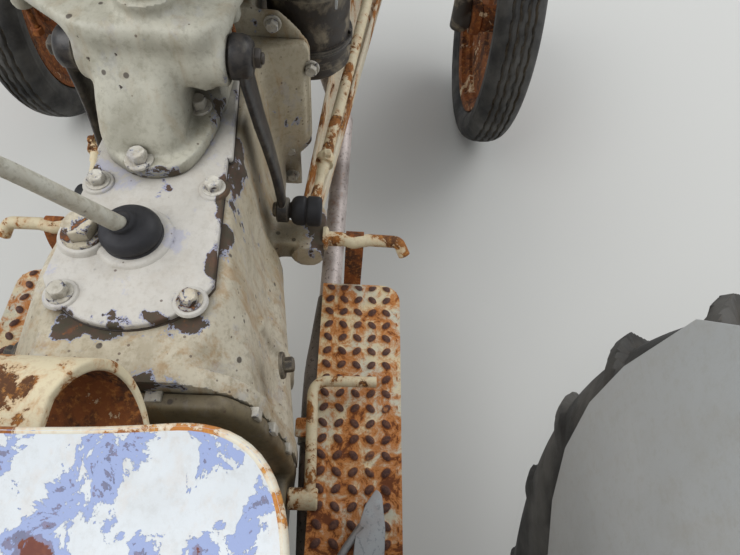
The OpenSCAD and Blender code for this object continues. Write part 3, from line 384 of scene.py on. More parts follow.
    def finish(self, colour: Socket | str, rough: Socket | float,
               height: Socket | None = None, depth_mm: float = 0.3,
               metal: Socket | float = 0.0) -> Material:
        """Closes the material with its surface shader.

        Args:
            colour: Base colour.
            rough: Roughness.
            height: Relief from zero to one.
            depth_mm: Depth of that relief.
            metal: Share of bare metal.

        Returns:
            The finished material.
        """
        shader = add(self.tree, "ShaderNodeBsdfPrincipled")
        values = {"Base Color": linear(colour) if isinstance(colour, str) else colour,
                  "Roughness": rough, "Metallic": metal}
        for key, value in values.items():
            if isinstance(value, Socket):
                self.tree.links.new(value, shader.inputs[key])
            else:
                shader.inputs[key].default_value = value
        if height is not None:
            bump = add(self.tree, "ShaderNodeBump",
                       {"Strength": 1.0, "Distance": depth_mm / 1000}, {"Height": height})
            self.tree.links.new(bump.outputs[0], shader.inputs["Normal"])
        add(self.tree, "ShaderNodeOutputMaterial", None, {"Surface": shader.outputs[0]})
        return self.material


@dataclass(frozen=True)
class Spot:
    """A worn place or line on the paint: where it is, its radius, and how much wear it adds."""

    centre: Point
    radius: float
    gain: float
    end: Point | None = None


@dataclass(frozen=True)
class Paintwork:
    """Sprayed enamel on iron that has weathered outdoors for decades.

    The top coat has come off in sharp-edged flakes. A lavender undercoat shows in a thin ring
    round them, then brown primer and rust. Wear grows on edges and at the named spots.
    """

    name: str
    coat: tuple[str, str] = ("#cfccc0", "#bfbcae")
    undercoat: str = "#a3a8bd"
    primer: str = "#5a463a"
    rust: tuple[str, str] = ("#7a4a2b", "#a8642c")
    flake_mm: float = 60.0
    lost: float = 0.62
    ring: float = 0.02
    deep: float = 0.14
    rusty: float = 0.5
    edge: float = 0.12
    edge_mm: float = 4.0
    stain: float = 0.3
    stain_colour: str = "#9c7f52"
    specks: float = 0.12
    soiled: float = 0.35
    soil: str = "#8f8674"
    rubbed: float = 0.25
    blistered: float = 0.0
    # Strength of the dark wash laid in occluded hollows, which is soil and also painted shade; its colour
    # also mottles the primer
    grime_and_shade: float = 0.6
    grime_and_shade_colour: str = "#4a4436"
    rough: float = 0.5
    grain_mm: float = 3.0
    spots: tuple[Spot, ...] = ()
    pits: tuple[Spot, ...] = ()
    shift: float = 0.0

    def build(self) -> Material:
        """Builds the material.

        Wear is a cloud of the flakes' size, plus edges, plus the named spots. Its level lines
        cut the coat: above `lost` the undercoat, a ring further the primer, then rust.

        Returns:
            The material.
        """
        g = Graph(self.name)
        wear = g.cloud(self.flake_mm, 10, 0.66, 0.3, shift=self.shift)
        if self.edge:
            wear = g.plus(wear, g.times(g.edges(self.edge_mm), self.edge))
        for s in self.spots:
            wear = g.plus(wear, g.times(g.spot(s.centre, s.end, s.radius), s.gain))
        off = g.step(wear, self.lost, self.lost + 0.006)
        primed = g.step(wear, self.lost + self.ring, self.lost + self.ring + 0.006)
        bare = g.step(wear, self.lost + self.ring + self.deep, self.lost + self.ring + self.deep + 0.02)
        colour = self.weathered(g)
        colour = g.over(colour, self.undercoat, off)
        scuff = g.step(g.cloud(18, 7, 0.72, shift=self.shift + 1), 0.38, 0.62)
        colour = g.over(colour, g.over(self.primer, self.grime_and_shade_colour, scuff), primed)
        iron = g.over(self.rust[0], self.rust[1], g.step(g.cloud(14, 8, 0.75, 0.4), 0.44, 0.62))
        colour = g.over(colour, iron, g.times(bare, self.rusty))
        if self.blistered:
            core, halo = g.blisters(46, 0.34, self.blistered, self.shift)
            colour = g.over(colour, "#c98a3e", g.times(halo, 0.75))
            colour = g.over(colour, "#5d3527", core)
        for s in self.pits:
            core, halo = g.blisters(13, 0.36, 0.7, self.shift + 6)
            near = g.step(g.spot(s.centre, s.end, s.radius), 0.25, 0.45)
            colour = g.over(colour, "#3d3029", g.times(core, near))
        # Dark wash in hollows found by ambient occlusion, broken into patches: soil, and painted shade in the
        # corners
        if self.grime_and_shade:
            dirt_and_shade = g.times(g.hollows(60), g.step(g.cloud(90, 6, 0.6), 0.22, 0.55))
            colour = g.over(colour, self.grime_and_shade_colour, g.times(dirt_and_shade, self.grime_and_shade))
        relief = g.minus(g.times(g.cloud(self.grain_mm, 3, 0.5), 0.35), g.times(off, 0.5))
        relief = g.minus(relief, g.times(primed, 0.3))
        rough = g.step(primed, 0, 1, self.rough, 0.85)
        return g.finish(colour, rough, relief, 0.35)

    def weathered(self, g: Graph) -> Socket:
        """Top coat with its tone, soil, rain streaks, rubbed places and freckles.

        Args:
            g: Graph of the material.

        Returns:
            The coat's colour.
        """
        tint = g.step(g.cloud(300, 5, 0.6, shift=self.shift + 3), 0.4, 0.6)
        colour = g.over(self.coat[0], self.coat[1], tint)
        # Soil in the pores of the coat, in wide drifts and as a fine mottle
        drift = g.step(g.cloud(70, 9, 0.7, 0.2, shift=self.shift + 11), 0.46, 0.68)
        mottle = g.step(g.cloud(9, 6, 0.75, shift=self.shift + 2), 0.47, 0.66)
        colour = g.over(colour, self.soil, g.times(drift, self.soiled))
        colour = g.over(colour, self.soil, g.times(mottle, self.soiled))
        # Rain streaks that run down the sides, and old oil stains
        streak = g.cloud(46, 8, 0.7, 0.2, (0.5, 0.5, 4.5), self.shift + 7)
        colour = g.wash(colour, self.stain_colour, streak, 0.48, 0.66, self.stain)
        rubbed = g.step(g.cloud(38, 9, 0.72, 0.3, shift=self.shift + 5), 0.56, 0.64)
        colour = g.over(colour, self.undercoat, g.times(rubbed, self.rubbed))
        # Brown freckles where rust comes through pin holes, fine ones and a few large ones
        fine = g.flecks(7, 0.26, self.specks, self.shift)
        large = g.flecks(26, 0.16, self.specks * 1.5, self.shift + 4)
        colour = g.over(colour, self.primer, g.times(fine, 0.75))
        return g.over(colour, "#3f342c", g.times(large, 0.85))


@dataclass(frozen=True)
class RustedSteel:
    """Mild steel that has rusted through its old paint: scaly orange over dark brown."""

    name: str
    dark: str = "#4b2f1f"
    mid: str = "#8a4f26"
    bright: str = "#b9783c"
    paint: str = "#d8c9a6"
    painted: float = 0.0
    size_mm: float = 30.0
    stretch: Point = (1.0, 1.0, 1.0)
    edge: float = 0.0
    shift: float = 0.0

    def build(self) -> Material:
        """Builds the material: three rust tones in nested clouds under what is left of the paint.

        Returns:
            The material.
        """
        g = Graph(self.name)
        scale = g.cloud(self.size_mm, 10, 0.72, 0.5, self.stretch, self.shift)
        fine = g.cloud(self.size_mm / 5, 8, 0.7, shift=self.shift + 2)
        colour = g.over(self.dark, self.mid, g.step(scale, 0.4, 0.56))
        colour = g.wash(colour, self.bright, fine, 0.5, 0.66, 0.8)
        # What is left of the paint lies in islands; a level line near 0.5 keeps about half
        level = 0.72 - 0.42 * self.painted
        island = g.cloud(self.size_mm * 1.3, 9, 0.7, 0.4, self.stretch, self.shift + 5)
        if self.edge:
            island = g.minus(island, g.times(g.edges(5), self.edge))
        left = g.step(island, level, level + 0.02)
        # The paint is yellowed by rust film next to the bare islands
        film = g.step(island, level + 0.09, level)
        paint = g.over(self.paint, self.bright, g.times(film, 0.45))
        soil = g.step(g.cloud(8, 6, 0.75, shift=self.shift + 9), 0.48, 0.66)
        colour = g.over(colour, g.over(paint, self.mid, g.times(soil, 0.22)), left)
        relief = g.plus(g.times(fine, 0.6), g.times(left, 0.4))
        return g.finish(colour, g.step(left, 0, 1, 0.92, 0.6), relief, 0.6)


@dataclass(frozen=True)
class TreadPlate:
    """Studded plate: cream paint between the studs, rust film round them, bare brown tops."""

    name: str
    paint: tuple[str, str] = ("#e3d0a6", "#cfccb8")
    film: str = "#c27a38"
    deep: str = "#6e3d20"
    top: str = "#4c3430"

    def build(self) -> Material:
        """Builds the material; the attribute named stud is the studs' height, from zero to one.

        Returns:
            The material.
        """
        g = Graph(self.name)
        stud = add(g.tree, "ShaderNodeAttribute", {"attribute_name": "stud"}).outputs["Fac"]
        place = add(g.tree, "ShaderNodeSeparateXYZ", None, {0: g.place})
        colour = g.over(self.paint[0], self.paint[1], g.step(g.cloud(90, 5, 0.6), 0.42, 0.6))
        # The heel end, behind x = 600, has rusted most
        back = g.step(place.outputs["X"], -0.02, -0.30, 0.0, 0.075)
        torn = g.plus(g.cloud(34, 10, 0.74, 0.4, shift=8.0), back)
        near = g.plus(torn, g.times(g.step(stud, 0.0, 0.3), 0.07))
        colour = g.wash(colour, self.film, near, 0.42, 0.56, 0.95)
        colour = g.wash(colour, "#8d4f25", near, 0.57, 0.62, 0.85)
        colour = g.over(colour, self.deep, g.step(torn, 0.585, 0.65))
        fine = g.cloud(6, 7, 0.75, shift=3.0)
        colour = g.wash(colour, self.deep, fine, 0.56, 0.66, 0.55)
        bare = g.times(g.step(stud, 0.30, 0.52), g.step(g.cloud(60, 8, 0.7, shift=5.0), 0.30, 0.40))
        colour = g.over(colour, g.over(self.top, "#6d4a3a", g.step(fine, 0.4, 0.6)), bare)
        relief = g.plus(g.times(fine, 0.6), g.times(g.step(near, 0.6, 0.5), 0.4))
        return g.finish(colour, g.step(torn, 0.45, 0.6, 0.65, 0.92), relief, 0.5)


@dataclass(frozen=True)
class GreasyIron:
    """Forged iron under old black paint and grease, dusty where hands and rain reach it."""

    name: str
    dark: str = "#232122"
    dust: str = "#8c8474"
    dusty: float = 0.35
    rough: float = 0.42

    def build(self) -> Material:
        """Builds the material: dark film, broken by dust in soft patches and on edges.

        Returns:
            The material.
        """
        g = Graph(self.name)
        patch = g.cloud(55, 8, 0.62, 0.3)
        worn = g.plus(patch, g.times(g.edges(5), 0.16))
        mask = g.times(g.step(worn, 0.5, 0.66), self.dusty * 1.6)
        colour = g.over(self.dark, "#3c3733", g.step(g.cloud(12, 6, 0.7), 0.4, 0.62))
        colour = g.over(colour, self.dust, mask)
        rough = g.step(mask, 0, 1, self.rough, 0.85)
        return g.finish(colour, rough, g.cloud(5, 6, 0.65), 0.4)


@dataclass(frozen=True)
class AgedRubber:
    """Black tyre rubber gone grey: dry bloom on the flanks, soil in the grooves."""

    name: str
    black: str = "#1c1c1c"
    bloom: str = "#55534f"
    soil: str = "#6b5a3f"
    soiled: float = 0.5

    def build(self) -> Material:
        """Builds the material: bloom in wide clouds, soil in hollows, fine cracks as relief.

        Returns:
            The material.
        """
        g = Graph(self.name)
        colour = g.over(self.black, self.bloom, g.step(g.cloud(140, 8, 0.6), 0.38, 0.7))
        dust = g.times(g.hollows(35), g.step(g.cloud(40, 7, 0.65), 0.3, 0.6))
        colour = g.over(colour, self.soil, g.times(dust, self.soiled))
        rough = g.step(g.cloud(60, 5, 0.6), 0.3, 0.7, 0.55, 0.82)
        return g.finish(colour, rough, g.cloud(4, 7, 0.7, 0.3), 0.35)


@dataclass(frozen=True)
class ScaledPipe:
    """Aluminised exhaust pipe, dull and pinkish, with grey specks of scale."""

    name: str
    base: str = "#cbc0bb"
    scale: str = "#5d544d"

    def build(self) -> Material:
        """Builds the material: pale metal with fine specks and rust films.

        Returns:
            The material.
        """
        g = Graph(self.name)
        # Large soft patches in the pipe's shaded tone, #8f8580, over its lit tone: painted shade
        colour = g.over(self.base, "#8f8580", g.step(g.cloud(120, 6, 0.6), 0.4, 0.62))
        colour = g.over(colour, self.scale, g.times(g.step(g.cloud(5, 4, 0.7), 0.56, 0.64), 0.7))
        colour = g.over(colour, "#8a5a34", g.times(g.step(g.cloud(60, 8, 0.7), 0.58, 0.7), 0.6))
        return g.finish(colour, 0.5, g.cloud(3, 4, 0.6), 0.15, 0.35)


@dataclass(frozen=True)
class Studio:
    """Pale floor, soft lamps and the camera of the photograph."""

    # Camera place and turn, matched on the wheels, the axle and the seat
    eye: Point = (275.0, -231.0, 1301.0)
    yaw: float = -0.083
    pitch: float = 1.003
    roll: float = 0.118
    focal_px: float = 570.0
    photo_px: int = 740
    sensor_mm: float = 36.0
    sky: float = 0.62
    # Name, place in metres, size in metres and power in watts
    lamps: tuple[tuple[str, Point, float, float], ...] = (
        ("key", (-1.5, 3.0, 5.0), 4.0, 210), ("fill", (3.5, -4.0, 4.5), 4.0, 120))
    aim: Point = (0.0, 0.0, 0.6)

    def build(self) -> None:
        """Makes the floor, the lamps, the world and the camera."""
        scene = bpy.context.scene
        scene.view_settings.view_transform = "Standard"
        bpy.ops.mesh.primitive_plane_add(size=60, location=(0, 0, 0))
        floor = bpy.context.object
        floor.name = "floor"
        g = Graph("pale_floor")
        floor.data.materials.append(g.finish("#cfcfcb", 0.9))
        world = bpy.data.worlds.new("studio")
        scene.world = world
        world.use_nodes = True
        shade = world.node_tree.nodes["Background"]
        shade.inputs[0].default_value = linear("#f4f7fb")
        shade.inputs[1].default_value = self.sky
        for name, at, size, power in self.lamps:
            light = bpy.data.lights.new(name, "AREA")
            light.size = size
            light.energy = power
            lamp = bpy.data.objects.new(name, light)
            scene.collection.objects.link(lamp)
            lamp.location = at
            way = np.array(self.aim) - np.array(at)
            lamp.rotation_euler = Vector(way).to_track_quat("-Z", "Y").to_euler()
        self.camera()

    def camera(self) -> None:
        """Places the camera: yaw about Z, pitch down, then roll about the line of sight."""
        cy, sy, cp, sp = math.cos(self.yaw), math.sin(self.yaw), math.cos(self.pitch), math.sin(self.pitch)
        ahead = np.array((cy * cp, sy * cp, -sp))
        right = np.array((sy, -cy, 0.0))
        up = np.cross(right, ahead)
        cr, sr = math.cos(self.roll), math.sin(self.roll)
        right, up = cr * right + sr * up, cr * up - sr * right
        data = bpy.data.cameras.new("camera")
        data.sensor_width = self.sensor_mm
        data.sensor_fit = "HORIZONTAL"
        data.lens = self.focal_px / self.photo_px * self.sensor_mm
        data.clip_start = 0.01
        eye = bpy.data.objects.new("camera", data)
        bpy.context.scene.collection.objects.link(eye)
        pose = Matrix.Identity(4)
        for i, axis in enumerate((right, up, -ahead)):
            for j in range(3):
                pose[j][i] = axis[j]
        for j, value in enumerate(Site.at(self.eye)):
            pose[j][3] = value
        eye.matrix_world = pose
        bpy.context.scene.camera = eye


class Site:
    """Turns the tractor's own millimetres into the frame's metres."""

    @staticmethod
    def at(points: Any) -> np.ndarray:
        """Shifts by the middle of the tractor's length and scales to metres."""
        return (np.asarray(points, float) - np.array((MID_X, 0.0, 0.0))) / 1000


def dress(material: Material, *nodes: str) -> None:
    """Gives CAD nodes a finish.

    Args:
        material: Their finish.
        nodes: Names of the nodes.
    """
    for name in nodes:
        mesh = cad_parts[name].data
        mesh.materials.clear()
        mesh.materials.append(material)


# Shapes

UP = np.array((0.0, 0.0, 1.0))
LEFT = np.array((0.0, 1.0, 0.0))
AHEAD = np.array((1.0, 0.0, 0.0))


def unit(v: Any) -> np.ndarray:
    """Scales vectors to length one."""
    v = np.asarray(v, float)
    return v / np.maximum(np.linalg.norm(v, axis=-1, keepdims=True), 1e-12)


def around(a: np.ndarray, r: Any, y: Any) -> np.ndarray:
    """Points about an axle along Y, at angles a, radii r and places y."""
    x = r * np.cos(a)
    return np.stack([x, np.broadcast_to(y, x.shape), r * np.sin(a)], -1)


def circle(radius: float, steps: int) -> np.ndarray:
    """Points of a circle."""
    a = np.arange(steps) * 2 * math.pi / steps
    return np.stack([radius * np.cos(a), radius * np.sin(a)], 1)


def swell(value: np.ndarray, power: float) -> np.ndarray:
    """Sign of a value times its size to a power, which makes an ellipse's section squarer."""
    return np.sign(value) * np.abs(value) ** power


def even(line: np.ndarray, steps: int, closed: bool = False) -> np.ndarray:
    """Spaces points evenly along a line.

    Args:
        line: Points of the line, as (n, d).
        steps: Points on the result.
        closed: Whether the line ends where it starts, so that its last point is left out.

    Returns:
        The points, as (steps, d).
    """
    run = np.concatenate([[0], np.cumsum(np.linalg.norm(np.diff(line, axis=0), axis=1))])
    at = np.linspace(0, run[-1], steps + closed)[:steps]
    return np.stack([np.interp(at, run, line[:, i]) for i in range(line.shape[1])], 1)


def curves(a: np.ndarray, b: np.ndarray, c: np.ndarray, steps: int) -> np.ndarray:
    """Quadratic curves from each a to its c, with b as the middle control point, end to end.

    Args:
        a: Starts, as (n, d).
        b: Control points.
        c: Ends.
        steps: Points on each.

    Returns:
        The points, as (n * steps, d).
    """
    t = np.linspace(0, 1, steps)[None, :, None]
    rows = (1 - t) ** 2 * a[:, None] + 2 * t * (1 - t) * b[:, None] + t ** 2 * c[:, None]
    return rows.reshape(-1, a.shape[1])


def rounded(corners: Any, radius: float, steps: int = 5) -> np.ndarray:
    """Rounds the corners of a flat outline.

    Each corner becomes a curve that leaves and meets its sides at the radius, or at 45% of the
    shorter side where that is less: a quadratic with the corner as its middle control point.

    Args:
        corners: Outline, as (n, 2).
        radius: Distance from a corner at which its curve begins.
        steps: Points on each curve.

    Returns:
        The outline with n * steps points.
    """
    p = np.asarray(corners, float)
    back, ahead = np.roll(p, 1, 0) - p, np.roll(p, -1, 0) - p
    lb, la = np.linalg.norm(back, axis=1), np.linalg.norm(ahead, axis=1)
    cut = np.minimum(radius, 0.45 * np.minimum(lb, la))[:, None]
    return curves(p + back / lb[:, None] * cut, p, p + ahead / la[:, None] * cut, steps)


def spline(knots: Any, steps: int, soft: float = 0.5) -> np.ndarray:
    """A smooth curve through points, with even spacing along its length.

    Between two knots it is a cubic with tangents along the chord of the two neighbours.

    Args:
        knots: Points, as (n, d).
        steps: Points on the result.
        soft: Share of the chord that each tangent takes.

    Returns:
        The curve, as (steps, d).
    """
    p = np.asarray(knots, float)
    ends = np.vstack([2 * p[0] - p[1], p, 2 * p[-1] - p[-2]])
    m = (ends[2:] - ends[:-2]) * soft
    t = np.linspace(0, 1, 33)[:-1][None, :, None]
    a, b, ma, mb = p[:-1, None], p[1:, None], m[:-1, None], m[1:, None]
    c = ((2 * t ** 3 - 3 * t ** 2 + 1) * a + (t ** 3 - 2 * t ** 2 + t) * ma
         + (3 * t ** 2 - 2 * t ** 3) * b + (t ** 3 - t ** 2) * mb)
    return even(np.vstack([c.reshape(-1, p.shape[1]), p[-1]]), steps)


def bend(knots: Any, radius: float, steps: int = 9) -> np.ndarray:
    """A path of straight runs whose corners are bent to about a radius, as a pipe is.

    Args:
        knots: Ends and corners, as (n, 3).
        radius: Radius of the bends.
        steps: Points on each bend.

    Returns:
        The path.
    """
    p = np.asarray(knots, float)
    back, ahead = unit(p[:-2] - p[1:-1]), unit(p[2:] - p[1:-1])
    half = np.arccos(np.clip((back * ahead).sum(1), -1, 1)) / 2
    cut = radius / np.tan(half)
    room = 0.48 * np.minimum(np.linalg.norm(p[:-2] - p[1:-1], axis=1),
                             np.linalg.norm(p[2:] - p[1:-1], axis=1))
    cut = np.minimum(cut, room)[:, None]
    turns = curves(p[1:-1] + back * cut, p[1:-1], p[1:-1] + ahead * cut, steps)
    return np.vstack([p[:1], turns, p[-1:]])


def ribbon(path: np.ndarray, across: np.ndarray, thick: np.ndarray) -> np.ndarray:
    """Grid of a strip whose run lies in the XZ plane and whose width stays level along Y.

    Point = path + across * Y + thick * normal, where the normal is the run turned by 90 degrees.

    Args:
        path: Points of the run, as (n, 3).
        across: Places of the section along Y, as (m,) or (n, m).
        thick: Places of the section along the normal, as (m,).

    Returns:
        A grid of points, as (n, m, 3).
    """
    ahead = unit(np.gradient(path, axis=0))
    normal = np.stack([-ahead[:, 2], np.zeros(len(path)), ahead[:, 0]], 1)
    return path[:, None] + across[..., None] * np.array((0.0, 1.0, 0.0)) + thick[:, None] * normal[:, None]


def sweep(path: np.ndarray, section: np.ndarray, up: Any = UP, scale: Any = 1.0) -> np.ndarray:
    """Carries a flat section along a path.

    Point = path + u * side + v * top, where side is level with up and top is square to both.

    Args:
        path: Points of the path, as (n, 3).
        section: Section as (m, 2), or one for each point as (n, m, 2).
        up: Direction that the section's second axis keeps to.
        scale: Factor on the section, one or n numbers.

    Returns:
        A grid of points, as (n, m, 3).
    """
    path = np.asarray(path, float)
    ahead = unit(np.gradient(path, axis=0))
    side = unit(np.cross(ahead, np.asarray(up, float)))
    top = np.cross(side, ahead)
    section = np.broadcast_to(section, (len(path),) + np.shape(section)[-2:])
    section = section * np.broadcast_to(np.asarray(scale, float), (len(path),))[:, None, None]
    return (path[:, None] + section[..., :1] * side[:, None] + section[..., 1:] * top[:, None])


def spin(profile: Any, origin: Any, axis: Any, steps: int = 48) -> np.ndarray:
    """Turns a profile of radius and height about an axis.

    Point = origin + height * axis + radius * (cos a * u + sin a * v).

    Args:
        profile: Radius and height, as (n, 2).
        origin: A point on the axis.
        axis: Direction of the axis.
        steps: Points round the axis.

    Returns:
        A grid of points, as (n, steps, 3), open where the turn closes.
    """
    profile = np.asarray(profile, float)
    w = unit(axis)
    u = unit(np.cross(w, UP if abs(w[2]) < 0.9 else np.array((1.0, 0.0, 0.0))))
    v = np.cross(w, u)
    a = np.arange(steps) * 2 * math.pi / steps
    round_ = np.cos(a)[:, None] * u + np.sin(a)[:, None] * v
    return (np.asarray(origin, float) + profile[:, None, 1:] * w
            + profile[:, None, :1] * round_[None])


def inset(outline: np.ndarray, by: float) -> np.ndarray:
    """Draws a flat outline in by a distance, each point along the mean normal of its sides.

    Args:
        outline: Outline, as (n, 2).
        by: Distance, negative to let it out.

    Returns:
        The new outline.
    """
    ahead = unit(np.roll(outline, -1, 0) - outline)
    back = unit(outline - np.roll(outline, 1, 0))
    area = (outline[:, 0] * np.roll(outline[:, 1], -1) - np.roll(outline[:, 0], -1) * outline[:, 1]).sum()
    turn = 1.0 if area > 0 else -1.0
    normal = unit(ahead + back)[:, ::-1] * np.array((-turn, turn))
    return outline + normal * by


@dataclass(frozen=True)
class Seat:
    """Where a flat drawing lies: an origin and its three axes."""

    origin: Point = (0.0, 0.0, 0.0)
    u: Point = (1.0, 0.0, 0.0)
    v: Point = (0.0, 1.0, 0.0)

    def put(self, flat: np.ndarray, height: Any = 0.0) -> np.ndarray:
        """Lifts flat points into space, height along u x v.

        Args:
            flat: Flat points, as (..., 2).
            height: Their heights.

        Returns:
            Points in space.
        """
        u, v = np.array(self.u), np.array(self.v)
        w = np.cross(u, v)
        height = np.broadcast_to(np.asarray(height, float), flat.shape[:-1])[..., None]
        return np.array(self.origin) + flat[..., :1] * u + flat[..., 1:2] * v + height * w


FLAT = Seat()
SIDE = Seat(u=(1.0, 0.0, 0.0), v=(0.0, 0.0, 1.0))


@dataclass
class Shape:
    """Points and faces of one piece, gathered from its surfaces, in millimetres."""

    points: list[np.ndarray] = field(default_factory=list)
    faces: list[list[int]] = field(default_factory=list)
    size: int = 0

    def add(self, points: np.ndarray, faces: Any) -> "Shape":
        """Adds points and the faces that index them.

        Args:
            points: Points, as (n, 3).
            faces: Faces as an array or as lists.

        Returns:
            This shape.
        """
        points = np.asarray(points, float).reshape(-1, 3)
        if isinstance(faces, np.ndarray):
            self.faces += (faces + self.size).tolist()
        else:
            self.faces += [[i + self.size for i in f] for f in faces]
        self.points.append(points)
        self.size += len(points)
        return self

    def grid(self, p: np.ndarray, tube: bool = True, loop: bool = False, caps: bool = False) -> "Shape":
        """Adds a grid of points as quads.

        Args:
            p: Points, as (rows, columns, 3).
            tube: Whether the last column meets the first.
            loop: Whether the last row meets the first.
            caps: Whether the first and last rows are closed by a flat face.

        Returns:
            This shape.
        """
        n, m = p.shape[:2]
        index = np.arange(n * m).reshape(n, m)
        if tube:
            index = np.hstack([index, index[:, :1]])
        if loop:
            index = np.vstack([index, index[:1]])
        quads = np.stack([index[:-1, :-1], index[:-1, 1:], index[1:, 1:], index[1:, :-1]], -1)
        faces = quads.reshape(-1, 4).tolist()
        if caps:
            faces += [list(range(m))[::-1], list(range((n - 1) * m, n * m))]
        return self.add(p.reshape(-1, 3), faces)

    def slab(self, outline: np.ndarray, low: float, high: float, edge: float = 1.0,
             seat: Seat = FLAT, steps: int = 3) -> "Shape":
        """Adds a flat plate whose rims are rounded.

        Rings of the outline run up the plate, drawn in by edge * (1 - sin t) where the height
        is edge * (1 - cos t) from the face.

        Args:
            outline: Outline, as (n, 2).
            low: Height of the lower face.
            high: Height of the upper face.
            edge: Radius of the rims.
            seat: Where the drawing lies.
            steps: Rings on each rim.

        Returns:
            This shape.
        """
        t = np.linspace(0, math.pi / 2, steps + 1)
        rise, draw = edge * (1 - np.cos(t)), edge * (1 - np.sin(t))
        levels = np.concatenate([low + rise, (high - rise)[::-1]])
        draws = np.concatenate([draw, draw[::-1]])
        rings = [seat.put(inset(outline, d), h) for d, h in zip(draws, levels)]
        return self.grid(np.stack(rings), caps=True)

    def bar(self, path: np.ndarray, radius: Any, steps: int = 16, up: Any = UP) -> "Shape":
        """Adds round bar along a path."""
        radius = np.broadcast_to(np.asarray(radius, float), (len(path),))
        return self.grid(sweep(path, circle(1.0, steps), up, radius), caps=True)

    def turned(self, profile: Any, origin: Any, axis: Any, steps: int = 48) -> "Shape":
        """Adds a turned piece with flat ends."""
        return self.grid(spin(profile, origin, axis, steps), caps=True)

    def take(self, other: "Shape", at: Any = ((0, 0, 0),), turn: Any = None) -> "Shape":
        """Adds copies of another shape.

        Args:
            other: Shape to copy.
            at: Places of the copies.
            turn: Rotation of each copy, as (k, 3, 3) or one (3, 3).

        Returns:
            This shape.
        """
        at = np.atleast_2d(np.asarray(at, float))
        turn = np.broadcast_to(np.eye(3) if turn is None else turn, (len(at), 3, 3))
        base = np.vstack(other.points)
        for place, rotation in zip(at, turn):
            self.add(base @ rotation.T + place, other.faces)
        return self

    def mirrored(self) -> "Shape":
        """Gives a copy on the other side of the tractor."""
        base = np.vstack(self.points) * np.array((1.0, -1.0, 1.0))
        return Shape().add(base, [f[::-1] for f in self.faces])

    def both(self) -> "Shape":
        """Gives the shape together with its copy on the other side."""
        return Shape().take(self).take(self.mirrored())


def facing(axis: Any, spin_deg: float = 0.0) -> np.ndarray:
    """Rotation that turns +Z to an axis, after a turn about Z.

    Args:
        axis: Direction that +Z takes.
        spin_deg: Turn about Z in degrees.

    Returns:
        The rotation, as (3, 3).
    """
    w = unit(axis)
    u = unit(np.cross(UP if abs(w[2]) < 0.9 else np.array((0.0, 1.0, 0.0)), w))
    v = np.cross(w, u)
    a = math.radians(spin_deg)
    return np.stack([u, v, w], 1) @ np.array(
        [[math.cos(a), -math.sin(a), 0], [math.sin(a), math.cos(a), 0], [0, 0, 1]])


def hex_bolt(across: float = 19.0, head: float = 12.0, washer: float = 15.0, thick: float = 2.5) -> Shape:
    """A hexagon head on its washer, standing on z = 0.

    The head's rings are a hexagon of radius across / (2 cos 30), chamfered on top to a circle.

    Args:
        across: Width across the flats.
        head: Height of the head.
        washer: Radius of the washer, or zero for none.
        thick: Thickness of the washer.

    Returns:
        The bolt's shape.
    """
    s = Shape()
    if washer:
        s.turned([[washer, -1], [washer, thick * 0.6], [washer - 1, thick], [across * 0.3, thick]],
                 (0, 0, 0), UP, 20)
    a = np.arange(24) * math.pi / 12
    corner = across / 2 / np.cos((a + math.pi / 6) % (math.pi / 3) - math.pi / 6)
    flat = np.full(24, across / 2 * 0.98)
    low = thick if washer else -1.0
    rings = [(corner * 0.97, low), (corner, low + 1), (corner, low + head - 2.5),
             ((corner + flat) / 2, low + head - 1), (flat * 0.94, low + head), (flat * 0.5, low + head - 0.3)]
    points = np.stack([np.stack([r * np.cos(a), r * np.sin(a), np.full(24, z)], 1) for r, z in rings])
    return s.grid(points, caps=True)


# Castings as distance fields: every value is a distance in mm, negative inside


def meet(radius: float, *parts: np.ndarray) -> np.ndarray:
    """Space inside all parts, with its edges rounded to a radius.

    Args:
        radius: Radius of the edges.
        parts: Distances from each part.

    Returns:
        The distance.
    """
    highest = np.maximum.reduce(np.broadcast_arrays(*parts))
    lifted = sum(np.maximum(p + radius, 0) ** 2 for p in parts)
    return np.sqrt(lifted) + np.minimum(highest + radius, 0) - radius


def weld(fillet: float, a: np.ndarray, b: np.ndarray) -> np.ndarray:
    """Space inside either part, with a fillet where they meet."""
    h = np.clip(0.5 + 0.5 * (b - a) / fillet, 0, 1)
    return b * (1 - h) + a * h - fillet * h * (1 - h)


def slab_field(w: np.ndarray, low: float, high: float) -> np.ndarray:
    """Distance from the space between two levels."""
    return np.abs(w - (low + high) / 2) - (high - low) / 2


def outline_field(u: np.ndarray, v: np.ndarray, corners: Any) -> np.ndarray:
    """Distance from a flat outline: the least over its sides, negative inside by winding.

    Args:
        u: Places along the first axis.
        v: Places along the second.
        corners: Corners of the outline.

    Returns:
        The distance.
    """
    p = np.asarray(corners, float)
    q = np.roll(p, -1, 0)
    best = np.full(np.broadcast(u, v).shape, np.inf)
    inside = np.zeros(best.shape, bool)
    for a, b in zip(p, q):
        e = b - a
        du, dv = u - a[0], v - a[1]
        t = np.clip((du * e[0] + dv * e[1]) / (e @ e), 0, 1)
        best = np.minimum(best, np.hypot(du - t * e[0], dv - t * e[1]))
        if a[1] != b[1]:
            inside ^= ((a[1] > v) != (b[1] > v)) & (u < e[0] * (v - a[1]) / e[1] + a[0])
    return np.where(inside, -best, best)


